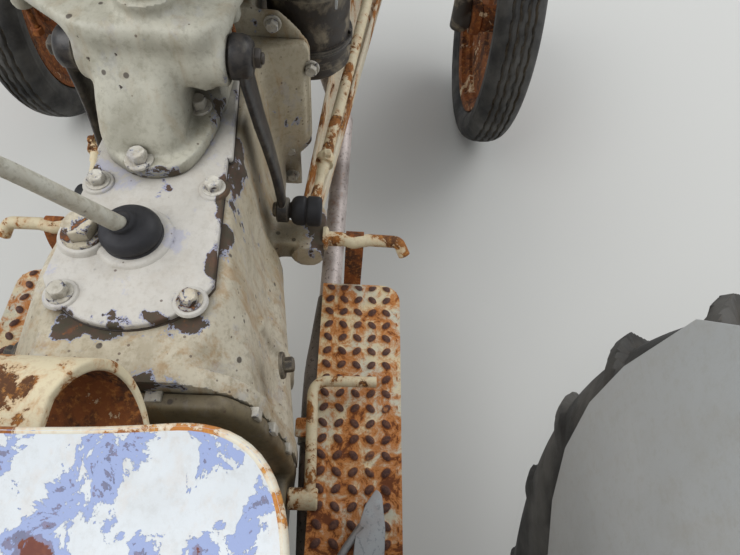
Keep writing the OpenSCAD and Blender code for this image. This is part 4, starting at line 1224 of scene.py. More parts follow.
def rod_field(x: np.ndarray, y: np.ndarray, z: np.ndarray, p: Any, q: Any, r0: float,
              r1: float | None = None) -> np.ndarray:
    """Distance from a round-ended rod from p to q, its radius going from r0 to r1.

    Args:
        x: Places forward.
        y: Places to the left.
        z: Places up.
        p: Start.
        q: End.
        r0: Radius at the start.
        r1: Radius at the end, or None for the same.

    Returns:
        The distance.
    """
    p, q = np.asarray(p, float), np.asarray(q, float)
    e = q - p
    t = np.clip(((x - p[0]) * e[0] + (y - p[1]) * e[1] + (z - p[2]) * e[2]) / (e @ e), 0, 1)
    far = np.sqrt((x - p[0] - t * e[0]) ** 2 + (y - p[1] - t * e[1]) ** 2 + (z - p[2] - t * e[2]) ** 2)
    return far - (r0 + (((r0 if r1 is None else r1) - r0) * t))


@dataclass
class Casting:
    """Iron poured in a sand mould, as a distance field on a grid of cells."""

    low: Point
    high: Point
    cell: float
    x: np.ndarray = field(init=False)
    y: np.ndarray = field(init=False)
    z: np.ndarray = field(init=False)

    def __post_init__(self) -> None:
        """Lays out the grid with at least two spare cells on every side."""
        axes = [np.arange(a - 2.5 * self.cell, b + 3.5 * self.cell, self.cell)
                for a, b in zip(self.low, self.high)]
        self.x, self.y, self.z = np.meshgrid(*axes, indexing="ij", sparse=True)

    def skin(self, value: np.ndarray) -> Shape:
        """Finds the surface where the field is zero.

        Each cell that the surface crosses gets one point, the mean of the crossings on its
        edges, and each grid edge that it crosses gets the quad of its four cells. The points
        then slide along the gradient onto the zero level.

        Args:
            value: Distances on the grid.

        Returns:
            A closed shape.
        """
        value = np.broadcast_to(value, (self.x.size, self.y.size, self.z.size)).astype(float)
        n = tuple(s - 1 for s in value.shape)
        corners = [(i, j, k) for i in (0, 1) for j in (0, 1) for k in (0, 1)]
        part = {c: value[c[0]:n[0] + c[0], c[1]:n[1] + c[1], c[2]:n[2] + c[2]] for c in corners}
        below = sum((part[c] < 0).astype(int) for c in corners)
        mixed = (below > 0) & (below < 8)
        total, count = np.zeros((mixed.sum(), 3)), np.zeros(mixed.sum())
        for a in corners:
            for axis in range(3):
                if a[axis]:
                    continue
                b = tuple(v + (1 if i == axis else 0) for i, v in enumerate(a))
                va, vb = part[a][mixed], part[b][mixed]
                cross = (va < 0) != (vb < 0)
                t = np.where(cross, va / np.where(cross, va - vb, 1), 0)
                at = np.tile(np.array(a, float), (len(va), 1))
                at[:, axis] += t
                total += at * cross[:, None]
                count += cross
        place = np.argwhere(mixed) + total / count[:, None]
        number = np.full(n, -1)
        number[mixed] = np.arange(len(place))
        quads = []
        for axis in range(3):
            e1, e2 = (axis + 1) % 3, (axis + 2) % 3
            ahead = [slice(1, -1)] * 3
            here = list(ahead)
            ahead[axis] = slice(2, None)
            a, b = value[tuple(here)] < 0, value[tuple(ahead)] < 0
            at = np.argwhere(a != b) + 1
            out = a[a != b]
            step1, step2 = np.eye(3, dtype=int)[e1], np.eye(3, dtype=int)[e2]
            ring = [number[tuple((at - s).T)] for s in (0 * step1, step1, step1 + step2, step2)]
            ring = np.stack(ring, 1)
            ring[~out] = ring[~out][:, ::-1]
            quads.append(ring)
        for _ in range(3):
            place = self.settle(value, place)
        origin = np.array([self.x.flat[0], self.y.flat[0], self.z.flat[0]])
        return Shape().add(place * self.cell + origin, np.vstack(quads))

    def settle(self, value: np.ndarray, place: np.ndarray) -> np.ndarray:
        """Moves points most of the way to the zero level along the field's gradient.

        The step is four fifths of the way, and less than half a cell.

        Args:
            value: Distances on the grid.
            place: Points in cells, as (n, 3).

        Returns:
            The moved points.
        """
        def sample(p: np.ndarray) -> np.ndarray:
            """Field between the grid's points, linear along each axis.

            Args:
                p: Places in cells, as (n, 3).

            Returns:
                The field at each place.
            """
            i = np.clip(p.astype(int), 0, np.array(value.shape) - 2)
            f = p - i
            total = 0.0
            for c in np.ndindex(2, 2, 2):
                w = np.prod(np.where(np.array(c), f, 1 - f), axis=1)
                total = total + w * value[tuple((i + np.array(c)).T)]
            return total
        h = 0.6
        slope = np.stack([(sample(place + h * np.eye(3)[k]) - sample(place - h * np.eye(3)[k])) / (2 * h)
                          for k in range(3)], 1)
        move = -sample(place)[:, None] * slope / np.maximum((slope ** 2).sum(1), 1e-6)[:, None]
        length = np.linalg.norm(move, axis=1, keepdims=True)
        return place + move * np.minimum(1, 0.5 / np.maximum(length, 1e-9)) * 0.8


def tie(thing: bpy.types.Object, finish: Material, body: Body, nodes: Sequence[str],
        smooth: float) -> None:
    """Shades and paints a piece and ties it to the frame.

    Args:
        thing: The piece.
        finish: Its material.
        body: Body that it rides on.
        nodes: CAD nodes that it replaces.
        smooth: Faces that meet at less than this angle are shaded as one.
    """
    mesh = thing.data
    mesh.polygons.foreach_set("use_smooth", np.ones(len(mesh.polygons), bool))
    mesh.set_sharp_from_angle(angle=math.radians(smooth))
    mesh.materials.clear()
    mesh.materials.append(finish)
    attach(thing, body.value)
    if nodes:
        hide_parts(*nodes)
    LOG.info("%s: %d faces on %s", thing.name, len(mesh.polygons), body.value)


def piece(name: str, shape: Shape, finish: Material, body: Body = Body.CHASSIS,
          nodes: Sequence[str] = (), smooth: float = 38.0) -> bpy.types.Object:
    """Makes an object of a shape and ties it to the frame.

    Args:
        name: Name of the piece.
        shape: Its shape, in the tractor's millimetres.
        finish: Its material.
        body: Body that it rides on.
        nodes: CAD nodes that it replaces.
        smooth: Faces that meet at less than this angle are shaded as one.

    Returns:
        The object.
    """
    points = Site.at(np.vstack(shape.points))
    mesh = bpy.data.meshes.new(name)
    mesh.from_pydata(points.tolist(), [], shape.faces)
    work = bmesh.new()
    work.from_mesh(mesh)
    bmesh.ops.remove_doubles(work, verts=work.verts, dist=2e-5)
    bmesh.ops.recalc_face_normals(work, faces=work.faces)
    work.to_mesh(mesh)
    work.free()
    thing = bpy.data.objects.new(name, mesh)
    bpy.context.scene.collection.objects.link(thing)
    tie(thing, finish, body, nodes, smooth)
    return thing


# Sub-assemblies


@dataclass(frozen=True)
class Looks:
    """The finishes, built once and shared by the sub-assemblies."""

    cast: Material
    soiled: Material
    cover: Material
    box: Material
    sheet: Material
    guard: Material
    seat: Material
    bolt: Material
    bolt_rusty: Material
    lever: Material
    iron: Material
    brown: Material
    rust: Material
    cream_rust: Material
    board: Material
    tyre: Material
    rubber: Material
    pipe: Material
    sooty_shaded: Material
    zinc: Material
    rod: Material
    rim: Material
    gasket: Material
    rim_rust: Material


def make_looks() -> Looks:
    """Builds every finish once.

    Returns:
        The finishes by use.
    """
    recipes = dict(
        cast=Paintwork(
            "weathered_cast_enamel", ("#d2cab6", "#beb39a"), flake_mm=60, lost=0.635, stain=0.6, specks=0.22,
            stain_colour="#a57f4c", grime_and_shade=0.8, soiled=0.5, soil="#94866c", rubbed=0.2, edge=0.07,
            spots=(Spot((548, -52, 757), 34, 0.16, (548, 52, 757)),
                   Spot((560, -78, 757), 26, 0.13, (720, -96, 757)),
                   Spot((535, -20, 757), 60, 0.05, (535, -100, 745)),
                   Spot((850, -190, 525), 60, 0.24),
                   Spot((800, -96, 757), 55, 0.16, (760, -96, 757)),
                   Spot((490, -150, 690), 30, 0.05, (490, -20, 757))),
        ),
        cover=Paintwork(
            "worn_cover_enamel", ("#d0ccc4", "#c2beb5"), flake_mm=44, lost=0.655, stain=0.1, specks=0.10,
            edge=0.075, edge_mm=8, rusty=0.12, soiled=0.25, soil="#a19a8d", rubbed=0.55, undercoat="#aeb0c8",
            spots=(Spot((545, -40, 769), 24, 0.13, (545, 40, 769)),
                   Spot((590, -92, 769), 17, 0.2, (760, -84, 769)),
                   Spot((728, -70, 771), 34, 0.1),
                   Spot((640, -58, 769), 30, 0.05, (640, 40, 769))),
            shift=4.0,
        ),
        box=Paintwork(
            "worn_housing_enamel", ("#c3c0b0", "#b3b0a0"), flake_mm=52, lost=0.675, stain=0.25, specks=0.10,
            edge=0.10, edge_mm=6, soiled=0.42, soil="#8d8875", rubbed=0.15, grime_and_shade=0.8,
            pits=(Spot((812, 50, 872), 46, 1.0, (842, 62, 866)),),
            spots=(Spot((742, -20, 778), 22, 0.15, (742, 40, 778)),
                   Spot((770, -48, 780), 18, 0.15, (860, -62, 780)),
                   Spot((840, -76, 800), 40, 0.1)),
            shift=9.0,
        ),
        sheet=Paintwork(
            "worn_sheet_enamel", ("#bbbdbb", "#b0b2b0"), flake_mm=90, lost=0.69, stain=0.15, specks=0.05,
            edge=0.06, soiled=0.3, rubbed=0.1, blistered=0.05, shift=2.0,
        ),
        guard=Paintwork(
            "plain_sheet_enamel", ("#b3b6b6", "#abaeae"), flake_mm=120, lost=0.74, ring=0.01,
            stain=0.05, specks=0.02, grime_and_shade=0.3, edge=0.05, soiled=0.15, rubbed=0.0, shift=5.0, rough=0.42,
        ),
        seat=Paintwork(
            "chipped_seat_enamel", ("#dadfe2", "#d0d5d8"), undercoat="#93a2cb", primer="#777a92",
            rust=("#6f4036", "#7d4a3a"), flake_mm=30, lost=0.535, ring=0.085, deep=0.045, rusty=1.0,
            stain=0.12, stain_colour="#c79a58", specks=0.06, edge=0.0, grime_and_shade=0.0, soiled=0.12, rubbed=0.0,
            shift=12.0, blistered=0.13, grime_and_shade_colour="#8b86a0",
            spots=(Spot((352, -64, 900), 32, 0.3), Spot((352, -64, 900), 22, 0.2, (324, -50, 898)),
                   Spot((365, -70, 902), 22, 0.2, (390, -106, 905))),
        ),
        soiled=Paintwork(
            "oil_soiled_cast_enamel", ("#8f8268", "#776b52"), flake_mm=60, lost=0.66, stain=0.5,
            specks=0.25, stain_colour="#7d6238", grime_and_shade=0.9, soiled=0.7, soil="#5b503e", rubbed=0.1,
            edge=0.05, shift=18.0,
        ),
        bolt=Paintwork(
            "painted_bolt_enamel", ("#dcd8cd", "#ccc7ba"), flake_mm=12, lost=0.60, edge=0.08, edge_mm=2,
            stain=0.2, grime_and_shade=0.5, soiled=0.5, shift=1.0,
        ),
        bolt_rusty=Paintwork(
            "rusty_bolt_enamel", ("#d6cdb9", "#c7bda6"), flake_mm=18, lost=0.53, edge=0.1, edge_mm=2,
            stain=0.5, rusty=0.9, deep=0.05, grime_and_shade=0.5, soiled=0.5, shift=6.0,
        ),
        lever=Paintwork(
            "dirty_lever_enamel", ("#d3d1c4", "#c3c0b2"), flake_mm=26, lost=0.66, stain=0.2, specks=0.16,
            edge=0.0, soiled=0.5, soil="#8d8570", rubbed=0.1, grime_and_shade=0.3, deep=0.06, shift=15.0,
        ),
        iron=GreasyIron("greasy_forged_iron"),
        brown=GreasyIron("oily_brown_iron", "#3d352d", "#9b8f79", 0.5, 0.5),
        rust=RustedSteel("rusted_mild_steel", painted=0.25, shift=3.0),
        cream_rust=RustedSteel(
            "rust_through_cream_paint", dark="#5b3a22", mid="#9c6430", bright="#c58a48", paint="#dccfae",
            painted=0.66, size_mm=34, shift=1.0,
        ),
        board=TreadPlate("rusted_tread_plate"),
        rod=RustedSteel(
            "streaked_rod_steel", dark="#6a4226", mid="#a3672f", bright="#cf9348", paint="#ddd3bb",
            painted=0.62, size_mm=30, stretch=(6.0, 1.0, 1.0), edge=0.05, shift=2.0,
        ),
        tyre=AgedRubber("aged_tyre_rubber"),
        rubber=AgedRubber("moulded_rubber", "#17171a", "#35353a", "#6b5a3f", 0.15),
        pipe=ScaledPipe("scaled_exhaust_pipe"),
        # Darker copy of the pipe finish, for the back pipe under the footboard: soot, and painted shade
        sooty_shaded=ScaledPipe("sooty_shaded_pipe", "#6a645e", "#34302d"),
        zinc=ScaledPipe("dull_zinc_plate", "#a3a6a8", "#7d8084"),
        rim=RustedSteel("rusted_rim_steel", painted=0.3, size_mm=60, shift=4.0),
        rim_rust=RustedSteel(
            "ochre_seat_rim", dark="#8a5430", mid="#b9783a", bright="#d39a50", paint="#d9d3c0",
            painted=0.62, size_mm=40, shift=6.0,
        ),
        gasket=GreasyIron("oil_soaked_gasket", "#2a1f18", "#5b4a38", 0.3, 0.6),
    )
    return Looks(**{use: recipe.build() for use, recipe in recipes.items()})


@dataclass
class Gearbox:
    """Gearbox and clutch housing: a tapered casting, a waist, a bell and an arched flange."""

    section: Profile = (
        (362, 108), (380, 118), (430, 138), (500, 142), (540, 136), (580, 118), (640, 110),
        (705, 103), (757, 91))
    waist: Profile = (
        (362, 94), (400, 104), (480, 112), (540, 108), (600, 98), (690, 92), (757, 86))
    arch: Profile = (
        (0, 757), (66, 756), (96, 748), (118, 731), (136, 706), (148, 676), (156, 634), (166, 579),
        (173, 520), (175, 450), (168, 362), (0, 362))
    # Degrees by which the sides draw in towards the front
    slope: float = 9.0
    cell: float = 4.6
    back: float = 485.0
    front: float = 1046.0
    low: float = 362.0
    bell_z: float = 650.0
    bell_r: float = 186.0
    bell_side: float = 160.0
    boss: tuple[float, float] = (168.0, 515.0)

    def build(self, looks: Looks) -> None:
        """Builds the casting, its flange bolts and the small fittings on it.

        Args:
            looks: The finishes by use.
        """
        c = Casting((self.back, -200, self.low), (self.front, 200, TOP_Z), self.cell)
        x, y, z = c.x, c.y, c.z
        away = np.abs(y)
        section = np.array(self.section)
        half = np.interp(z, section[:, 0], section[:, 1])
        half = half + (700 - x) * math.tan(math.radians(self.slope))
        # Towards the back the shoulders fall away to the arched flange along a sloping plane
        arch = outline_field(away, z, self.arch)
        shoulder = -0.2235 * (x - 505) + 0.7077 * (away - 70) + 0.6705 * (z - TOP_Z)
        wall = meet(9.0, (away - half) * 0.96, slab_field(z, 330, TOP_Z), shoulder)
        body = meet(5.0, wall, slab_field(x, 480, 798), slab_field(z, self.low, 790))
        waist = np.array(self.waist)
        narrow = meet(9.0, away - np.interp(z, waist[:, 0], waist[:, 1]), slab_field(z, 330, TOP_Z))
        narrow = meet(3.0, narrow, slab_field(x, 780, 1020), slab_field(z, self.low, 790))
        value = weld(26.0, body, narrow)
        flange = meet(3.0, arch, slab_field(x, self.back, 507), slab_field(z, self.low, 760))
        value = weld(7.0, value, flange)
        # Bell: a cone about the crankshaft with a foot for the sump, flat where the drag links pass
        far = np.hypot(y, z - self.bell_z)
        foot = outline_field(away, z, ((-10, 440), (138, 440), (138, 570), (-10, 570)))
        outline = np.maximum(np.minimum(far - self.bell_r, foot), away - self.bell_side)
        cone = (far - (112 + (x - 1000) * 2.3)) * 0.42
        bell = meet(4.0, cone, slab_field(x, 996, 1040), outline + 7)
        value = weld(22.0, value, bell)
        value = weld(4.0, value, meet(2.5, outline, slab_field(x, 1031, self.front), slab_field(z, 440, 840)))
        # Bosses for the radius rods
        from_rod = np.hypot(away - self.boss[0], z - self.boss[1])
        boss = meet(3.0, from_rod - 27, slab_field(x, 808, 905))
        block = meet(4.0, slab_field(x, 816, 866), slab_field(away, 80, 195), slab_field(z, 499, 542))
        value = weld(14.0, value, np.minimum(boss, block))
        value = np.maximum(value, -meet(0.5, from_rod - 17.2, slab_field(x, 866, 920)))
        # A rib down each flank
        rib = meet(4.0, slab_field(x, 612, 628), slab_field(z, 380, 640), away - half - 7)
        value = weld(10.0, value, rib)
        value = np.maximum(value, slab_field(z, self.low, TOP_Z))
        value = np.maximum(value, slab_field(x, self.back, self.front))
        piece("gearbox_casting", c.skin(value), looks.cast, nodes=["gearbox_housing"])
        self.bolts(looks)

    def bolts(self, looks: Looks) -> None:
        """Sets the square heads behind the arched flange and the hexagons on the bell.

        Args:
            looks: The finishes by use.
        """
        s = Shape()
        back = [(side * y, z) for side in (-1, 1)
                for y, z in ((44, 728), (138, 690), (152, 640), (164, 560), (164, 470))]
        head = Shape().slab(rounded([(-9, -9), (9, -9), (9, 9), (-9, 9)], 2.0), 0, 12, 1.5)
        s.take(head, [(self.back + 0.5, y, z) for y, z in back], facing(-AHEAD, 8))
        a = np.radians([22, 52, 128, 158])
        ring = [(1032, 176 * math.cos(t), self.bell_z + 176 * math.sin(t)) for t in a]
        ring += [(1032, y, z) for y in (-122, 122) for z in (470, 540)]
        s.take(hex_bolt(17, 10, 13), ring, facing(-AHEAD))
        piece("flange_bolts", s, looks.bolt)
        side = Shape().take(hex_bolt(17, 12, 17, 4), [(560, -158, 640), (560, 158, 640)],
                            np.stack([facing((0.1, -1, 0.12)), facing((0.1, 1, 0.12))]))
        piece("flank_bolts", side, looks.brown)


@dataclass
class Cover:
    """Gearbox cover with its gasket, bolts, filler plug and the lever's boot and lever."""

    x0: float = 540.0
    x1: float = 944.0
    z: float = TOP_Z
    thick: float = 12.0
    half: float = 91.0
    nose_half: float = 70.0
    bolts_at: Profile = ((728, 66), (728, -70), (574, 64), (572, -70))
    plug_at: tuple[float, float] = (650.0, 60.0)
    boot_at: tuple[float, float] = (651.0, 6.0)
    lever_end: Point = (575.0, 52.0, 975.0)

    def outline(self, grow: float = 0.0) -> np.ndarray:
        """Outline of the plate: tapered sides and a round back end.

        Args:
            grow: Distance by which it is let out.

        Returns:
            The outline, as (n, 2).
        """
        t = np.linspace(math.pi * 0.62, math.pi * 1.38, 25)
        back = np.stack([self.x0 + 88 + 88 * np.cos(t), 97 * np.sin(t)], 1)
        back[:, 1] = np.clip(back[:, 1], -self.half, self.half)
        front = rounded([(780, -84), (self.x1, -self.nose_half), (self.x1, self.nose_half), (780, 84)], 6)
        line = np.vstack([back, front])
        return inset(line, -grow)

    def build(self, looks: Looks) -> None:
        """Builds the plate, the gasket, the bolts, the plug, the boot and the lever.

        Args:
            looks: The finishes by use.
        """
        top = self.z + self.thick
        plate = Shape().slab(self.outline(), self.z + 1.6, top, 3.0, steps=4)
        for at in self.bolts_at:
            plate.turned([[19, top - 1], [17.5, top + 2.4], [16.5, top + 3], [8, top + 3]],
                         (at[0], at[1], 0), UP, 28)
        x, y = self.plug_at
        plate.turned([[31, top - 2], [29, top + 3], [27.5, top + 6], [26, top + 7], [10, top + 7]],
                     (x, y, 0), UP, 32)
        x, y = self.boot_at
        plate.turned([[44, top - 2], [42, top + 2], [38, top + 4.5], [20, top + 4.5]], (x, y, 0), UP, 40)
        piece("cover_plate", plate, looks.cover, nodes=["gearbox_cover"])
        gasket = Shape().slab(self.outline(0.8), self.z - 0.2, self.z + 1.8, 0.5)
        piece("cover_gasket", gasket, looks.gasket)
        bolts = Shape().take(hex_bolt(18, 10, 14, 2), [(x, y, top + 3) for x, y in self.bolts_at[:3]],
                             facing(UP, 20))
        piece("cover_bolts", bolts, looks.bolt)
        rusty = Shape().take(hex_bolt(18, 10, 14, 2), [(*self.bolts_at[3], top + 3)], facing(UP, 42))
        x, y = self.plug_at
        plug = hex_bolt(31, 17, 24, 4)
        piece("cover_bolt_rusty", rusty, looks.bolt_rusty)
        piece("filler_plug", Shape().take(plug, [(x, y, top + 6)], facing(UP, 12)), looks.bolt_rusty)
        self.lever(looks, top)

    def lever(self, looks: Looks, top: float) -> None:
        """Builds the rubber boot, turned from a bell profile, and the lever's tapered rod.

        Args:
            looks: The finishes by use.
            top: Height of the plate's upper face.
        """
        x, y = self.boot_at
        foot = np.array((x, y, top + 14.0))
        end = np.array(self.lever_end)
        way = unit(end - foot)
        profile = [[0.5, 0], [33, 0], [34.5, 1.5], [34, 4], [31.5, 5.5], [31, 8], [33, 11], [33.4, 15],
                   [32, 20], [28.5, 25.5], [23, 29.5], [18, 31.5], [15.5, 33.5], [15, 37], [14, 39.5],
                   [11.5, 40.5], [9.5, 39], [0.5, 38.5]]
        boot = spin(spline(profile, 60, 0.45), (x, y, top), UP, 64)
        # The boot leans with the lever: points shift sideways with the square of their height
        rise = np.clip((boot[..., 2] - top) / 40, 0, 1.2)
        boot[..., :2] += (rise ** 2)[..., None] * way[:2] * 17
        boot[..., 2] += rise ** 2 * ((boot[..., :2] - (x, y)) @ -way[:2]) * 0.28
        piece("lever_boot", Shape().grid(boot, caps=True), looks.rubber, Body.CHASSIS,
              ["gear_boot"])
        path = spline([foot, foot + way * 80 + (0, 0, 2), foot + way * 160 + (0, 0, 3), end], 40)
        lever = Shape().bar(path, np.interp(np.arange(40), [0, 3, 39], [9.5, 9.5, 7.5]), 24)
        lever.turned([[0.5, -19], [8, -17.5], [14, -13], [18, -6], [19, 1], [17.5, 8], [13, 14],
                      [7, 17.5], [0.5, 18.7]], end, way, 32)
        piece("lever_rod", lever, looks.lever, nodes=["gear_lever"])


@dataclass
class SteeringBox:
    """Steering box: a hump for the worm, a shaft boss each side and a wide head for the dash."""

    shaft: tuple[float, float] = (850.0, 865.0)
    side: float = 84.0
    top: float = 914.0
    cell: float = 3.6

    def build(self, looks: Looks) -> None:
        """Builds the casting, its foot bolts and the two hanging studs.

        Args:
            looks: The finishes by use.
        """
        c = Casting((735, -104, 769), (946, 195, 936), self.cell)
        x, y, z = c.x, c.y, c.z
        foot = outline_field(x, y, rounded([(735, 12), (746, -30), (772, -46), (822, -60), (944, -66),
                                            (944, 66), (800, 70), (752, 48)], 22, 6))
        foot = meet(4.0, foot, slab_field(z, 750, 787))
        # Hump whose back slopes up to the head
        hump = outline_field(x, z, rounded([(753, 745), (762, 802), (786, 844), (818, 878), (862, 902),
                                            (944, 905), (944, 745)], 16, 5))
        wide = np.interp(z, [769, 800, 870, 905], [47, 50, 50, 48])
        hump = meet(26.0, hump, np.abs(y - 20) - wide)
        value = weld(7.0, foot, hump)
        # Wall below the head, cut back on the right under a slanting ledge, and the shaft bosses
        wall = meet(12.0, slab_field(x, 822, 944), np.abs(y) - 60, slab_field(z, 750, 905))
        ledge = 866 + (y + 8) * 0.633
        recess = meet(6.0, z - ledge, y + 12, x - 868)
        value = weld(12.0, value, np.maximum(wall, -recess))
        boss = meet(4.0, np.hypot(x - self.shaft[0], z - self.shaft[1]) - 34, np.abs(y) - self.side)
        value = weld(14.0, value, boss)
        # Head: a table with a sagging underside, wide on the left for the dash
        left = np.interp(x, [818, 850, 900, 944], [64, 112, 176, 192])
        right = np.interp(x, [818, 850, 900, 944], [62, 84, 98, 102])
        head = meet(8.0, slab_field(z, 898, self.top), y - left, -y - right, slab_field(x, 822, 944))
        value = weld(26.0, value, head)
        # Clear of the drop arms' hubs
        hub = np.maximum(np.hypot(x - self.shaft[0], z - self.shaft[1]) - 31.5, 84.6 - np.abs(y))
        value = np.maximum(value, -hub)
        # Collar of the column, and the hollow cast beside it
        collar = rod_field(x, y, z, (880, 0, 897), (864, 0, 940), 36)
        value = weld(14.0, value, meet(3.0, collar, slab_field(z, 860, 936)))
        pocket = rod_field(x, y, z, (880, 40, 915), (912, 44, 880), 9)
        value = np.maximum(value, -pocket)
        value = np.maximum(value, slab_field(z, 769, 936))
        value = np.maximum(value, slab_field(x, 735, 945))
        casting = c.skin(value)
        casting.turned([[24, -10], [24, 6], [21, 10], [21, 288], [23, 290], [23, 306], [12, 306]],
                       COLUMN_BASE, COLUMN_WAY, 40)
        piece("steering_casting", casting, looks.box, nodes=["steering_box"])
        bolts = Shape().take(hex_bolt(20, 12, 17, 3), [(751, 19, 787), (848, -34, 787), (850, 60, 787)],
                             facing(UP, 25))
        piece("foot_bolts", bolts, looks.bolt)
        stud = Shape().bar(np.array([(0, 0, 8), (0, 0, -20), (1, 0, -34.0)]), (4.2, 4.2, 3.8), 14)
        stud.take(hex_bolt(14, 8, 0), [(0, 0, -40)])
        pads = Shape().turned([[13, 14], [13, 2], [11, -3], [5, -3]], (0, 0, 0), UP, 24)
        places = [(900, -80, 884), (900, 160, 884)]
        piece("ear_studs", Shape().take(stud, places), looks.rust)
        piece("ear_pads", Shape().take(pads, places), looks.box)


@dataclass
class SeatUnit:
    """Pressed pan seat on a rolled leaf spring."""

    pan_x: float = 170.0
    pan_r: float = 470.0
    front: float = 388.0
    half: float = 217.0
    z0: float = 882.0
    spring_w: float = 120.0
    # The spring's roll: its radius, its middle and how far it lies below the pan
    roll_r: float = 43.0
    roll_x: float = 424.0
    drop: float = 48.0

    def outline(self, steps: int) -> np.ndarray:
        """Outline of the pan: a straight front with round corners and a round back.

        Args:
            steps: Points on the outline.

        Returns:
            The outline, as (steps, 2).
        """
        h, x = self.half - 4, self.pan_x
        a = np.linspace(0.5 * math.pi, 1.5 * math.pi, 60)
        back = np.stack([x + h * np.cos(a), h * np.sin(a)], 1)
        front = rounded([(x + 60, -h), (self.front - 6, -h + 14), (self.front - 5, h - 14), (x + 60, h)],
                        88, 16)
        return even(np.vstack([back, front, back[:1]]), steps, closed=True)

    def height(self, flat: np.ndarray) -> np.ndarray:
        """Height of the dish: a sphere of radius pan_r, with the back edge turned up.

        Args:
            flat: Places, as (..., 2).

        Returns:
            The height at each place.
        """
        dx, dy = flat[..., 0] - self.pan_x, flat[..., 1]
        far = np.hypot(dx, dy)
        dish = self.z0 + self.pan_r - np.sqrt(np.maximum(self.pan_r ** 2 - far ** 2, 1))
        rise = 52 * np.clip((60 - flat[..., 0]) / 110, 0, 1) ** 1.6
        return dish + rise

    def build(self, looks: Looks) -> None:
        """Builds the pan with its wired edge, and the spring.

        Args:
            looks: The finishes by use.
        """
        ring = self.outline(200)
        centre = np.array((self.pan_x + 20, 0.0))
        t = np.linspace(0.02, 1, 46)[:, None, None]
        flat = centre + (ring - centre)[None] * t
        top = np.concatenate([flat, self.height(flat)[..., None]], -1)
        # Both faces of the sheet, joined over the rim
        under = top - (0, 0, 3.5)
        s = Shape().grid(np.concatenate([top, under[::-1]]), caps=True)
        piece("seat_sheet", s, looks.seat, nodes=["seat_pan"])
        edge = np.concatenate([ring, self.height(ring)[:, None] - 3.0], 1)
        bead = np.vstack([edge, edge[:1]])
        wire = sweep(np.vstack([bead[-2:-1], bead, bead[1:2]]), circle(2.9, 14))[1:-2]
        piece("seat_wire", Shape().grid(wire, loop=True), looks.rim_rust)
        self.spring(looks)

    def spring(self, looks: Looks) -> None:
        """Builds the spring: a strip along Y whose side view is a C with its ends run back.

        Args:
            looks: The finishes by use.
        """
        a = np.linspace(-0.5 * math.pi, 0.5 * math.pi, 28)
        r, cx, cz = self.roll_r, self.roll_x, self.z0 - self.drop
        low = np.stack([np.linspace(142, cx - 4, 12), np.full(12, cz - r)], 1)
        bow = np.stack([cx + r * np.cos(a), cz + r * np.sin(a)], 1)
        high = np.stack([np.linspace(cx - 4, 92, 12), np.full(12, cz + r)], 1)
        line = np.vstack([low, bow, high])
        path = np.stack([line[:, 0], np.zeros(len(line)), line[:, 1]], 1)
        # The open end on the right is cut at a slant: the lower leaf reaches further out
        right = np.interp(np.arange(len(path)), [0, 11, 39, len(path) - 1], [78, 68, 16, 13])

        def strip(low_n: float, high_n: float, pull: float) -> Shape:
            """The strip between two offsets from its middle, drawn in at both sides.

            Args:
                low_n: Lower offset.
                high_n: Upper offset.
                pull: How far each side is drawn in.

            Returns:
                The strip.
            """
            a, b = -1.0, self.spring_w / 2 - pull
            section = rounded([(a, low_n), (b, low_n), (b, high_n), (a, high_n)],
                              min(3.0, (high_n - low_n) / 2.2), 4)
            across = section[:, 0]
            across = np.where(across < 20, across - right[:, None] + pull, across)
            return Shape().grid(ribbon(path, across, section[:, 1]), caps=True)

        s = strip(-5, 5, 0)
        piece("spring_lining", strip(4.6, 5.5, 3), looks.rust)
        s.take(hex_bolt(19, 9, 15), [(170, y, self.z0 - 92 + 9) for y in (-34, 34)])
        piece("spring_leaf", s, looks.cream_rust, nodes=["seat_spring"])


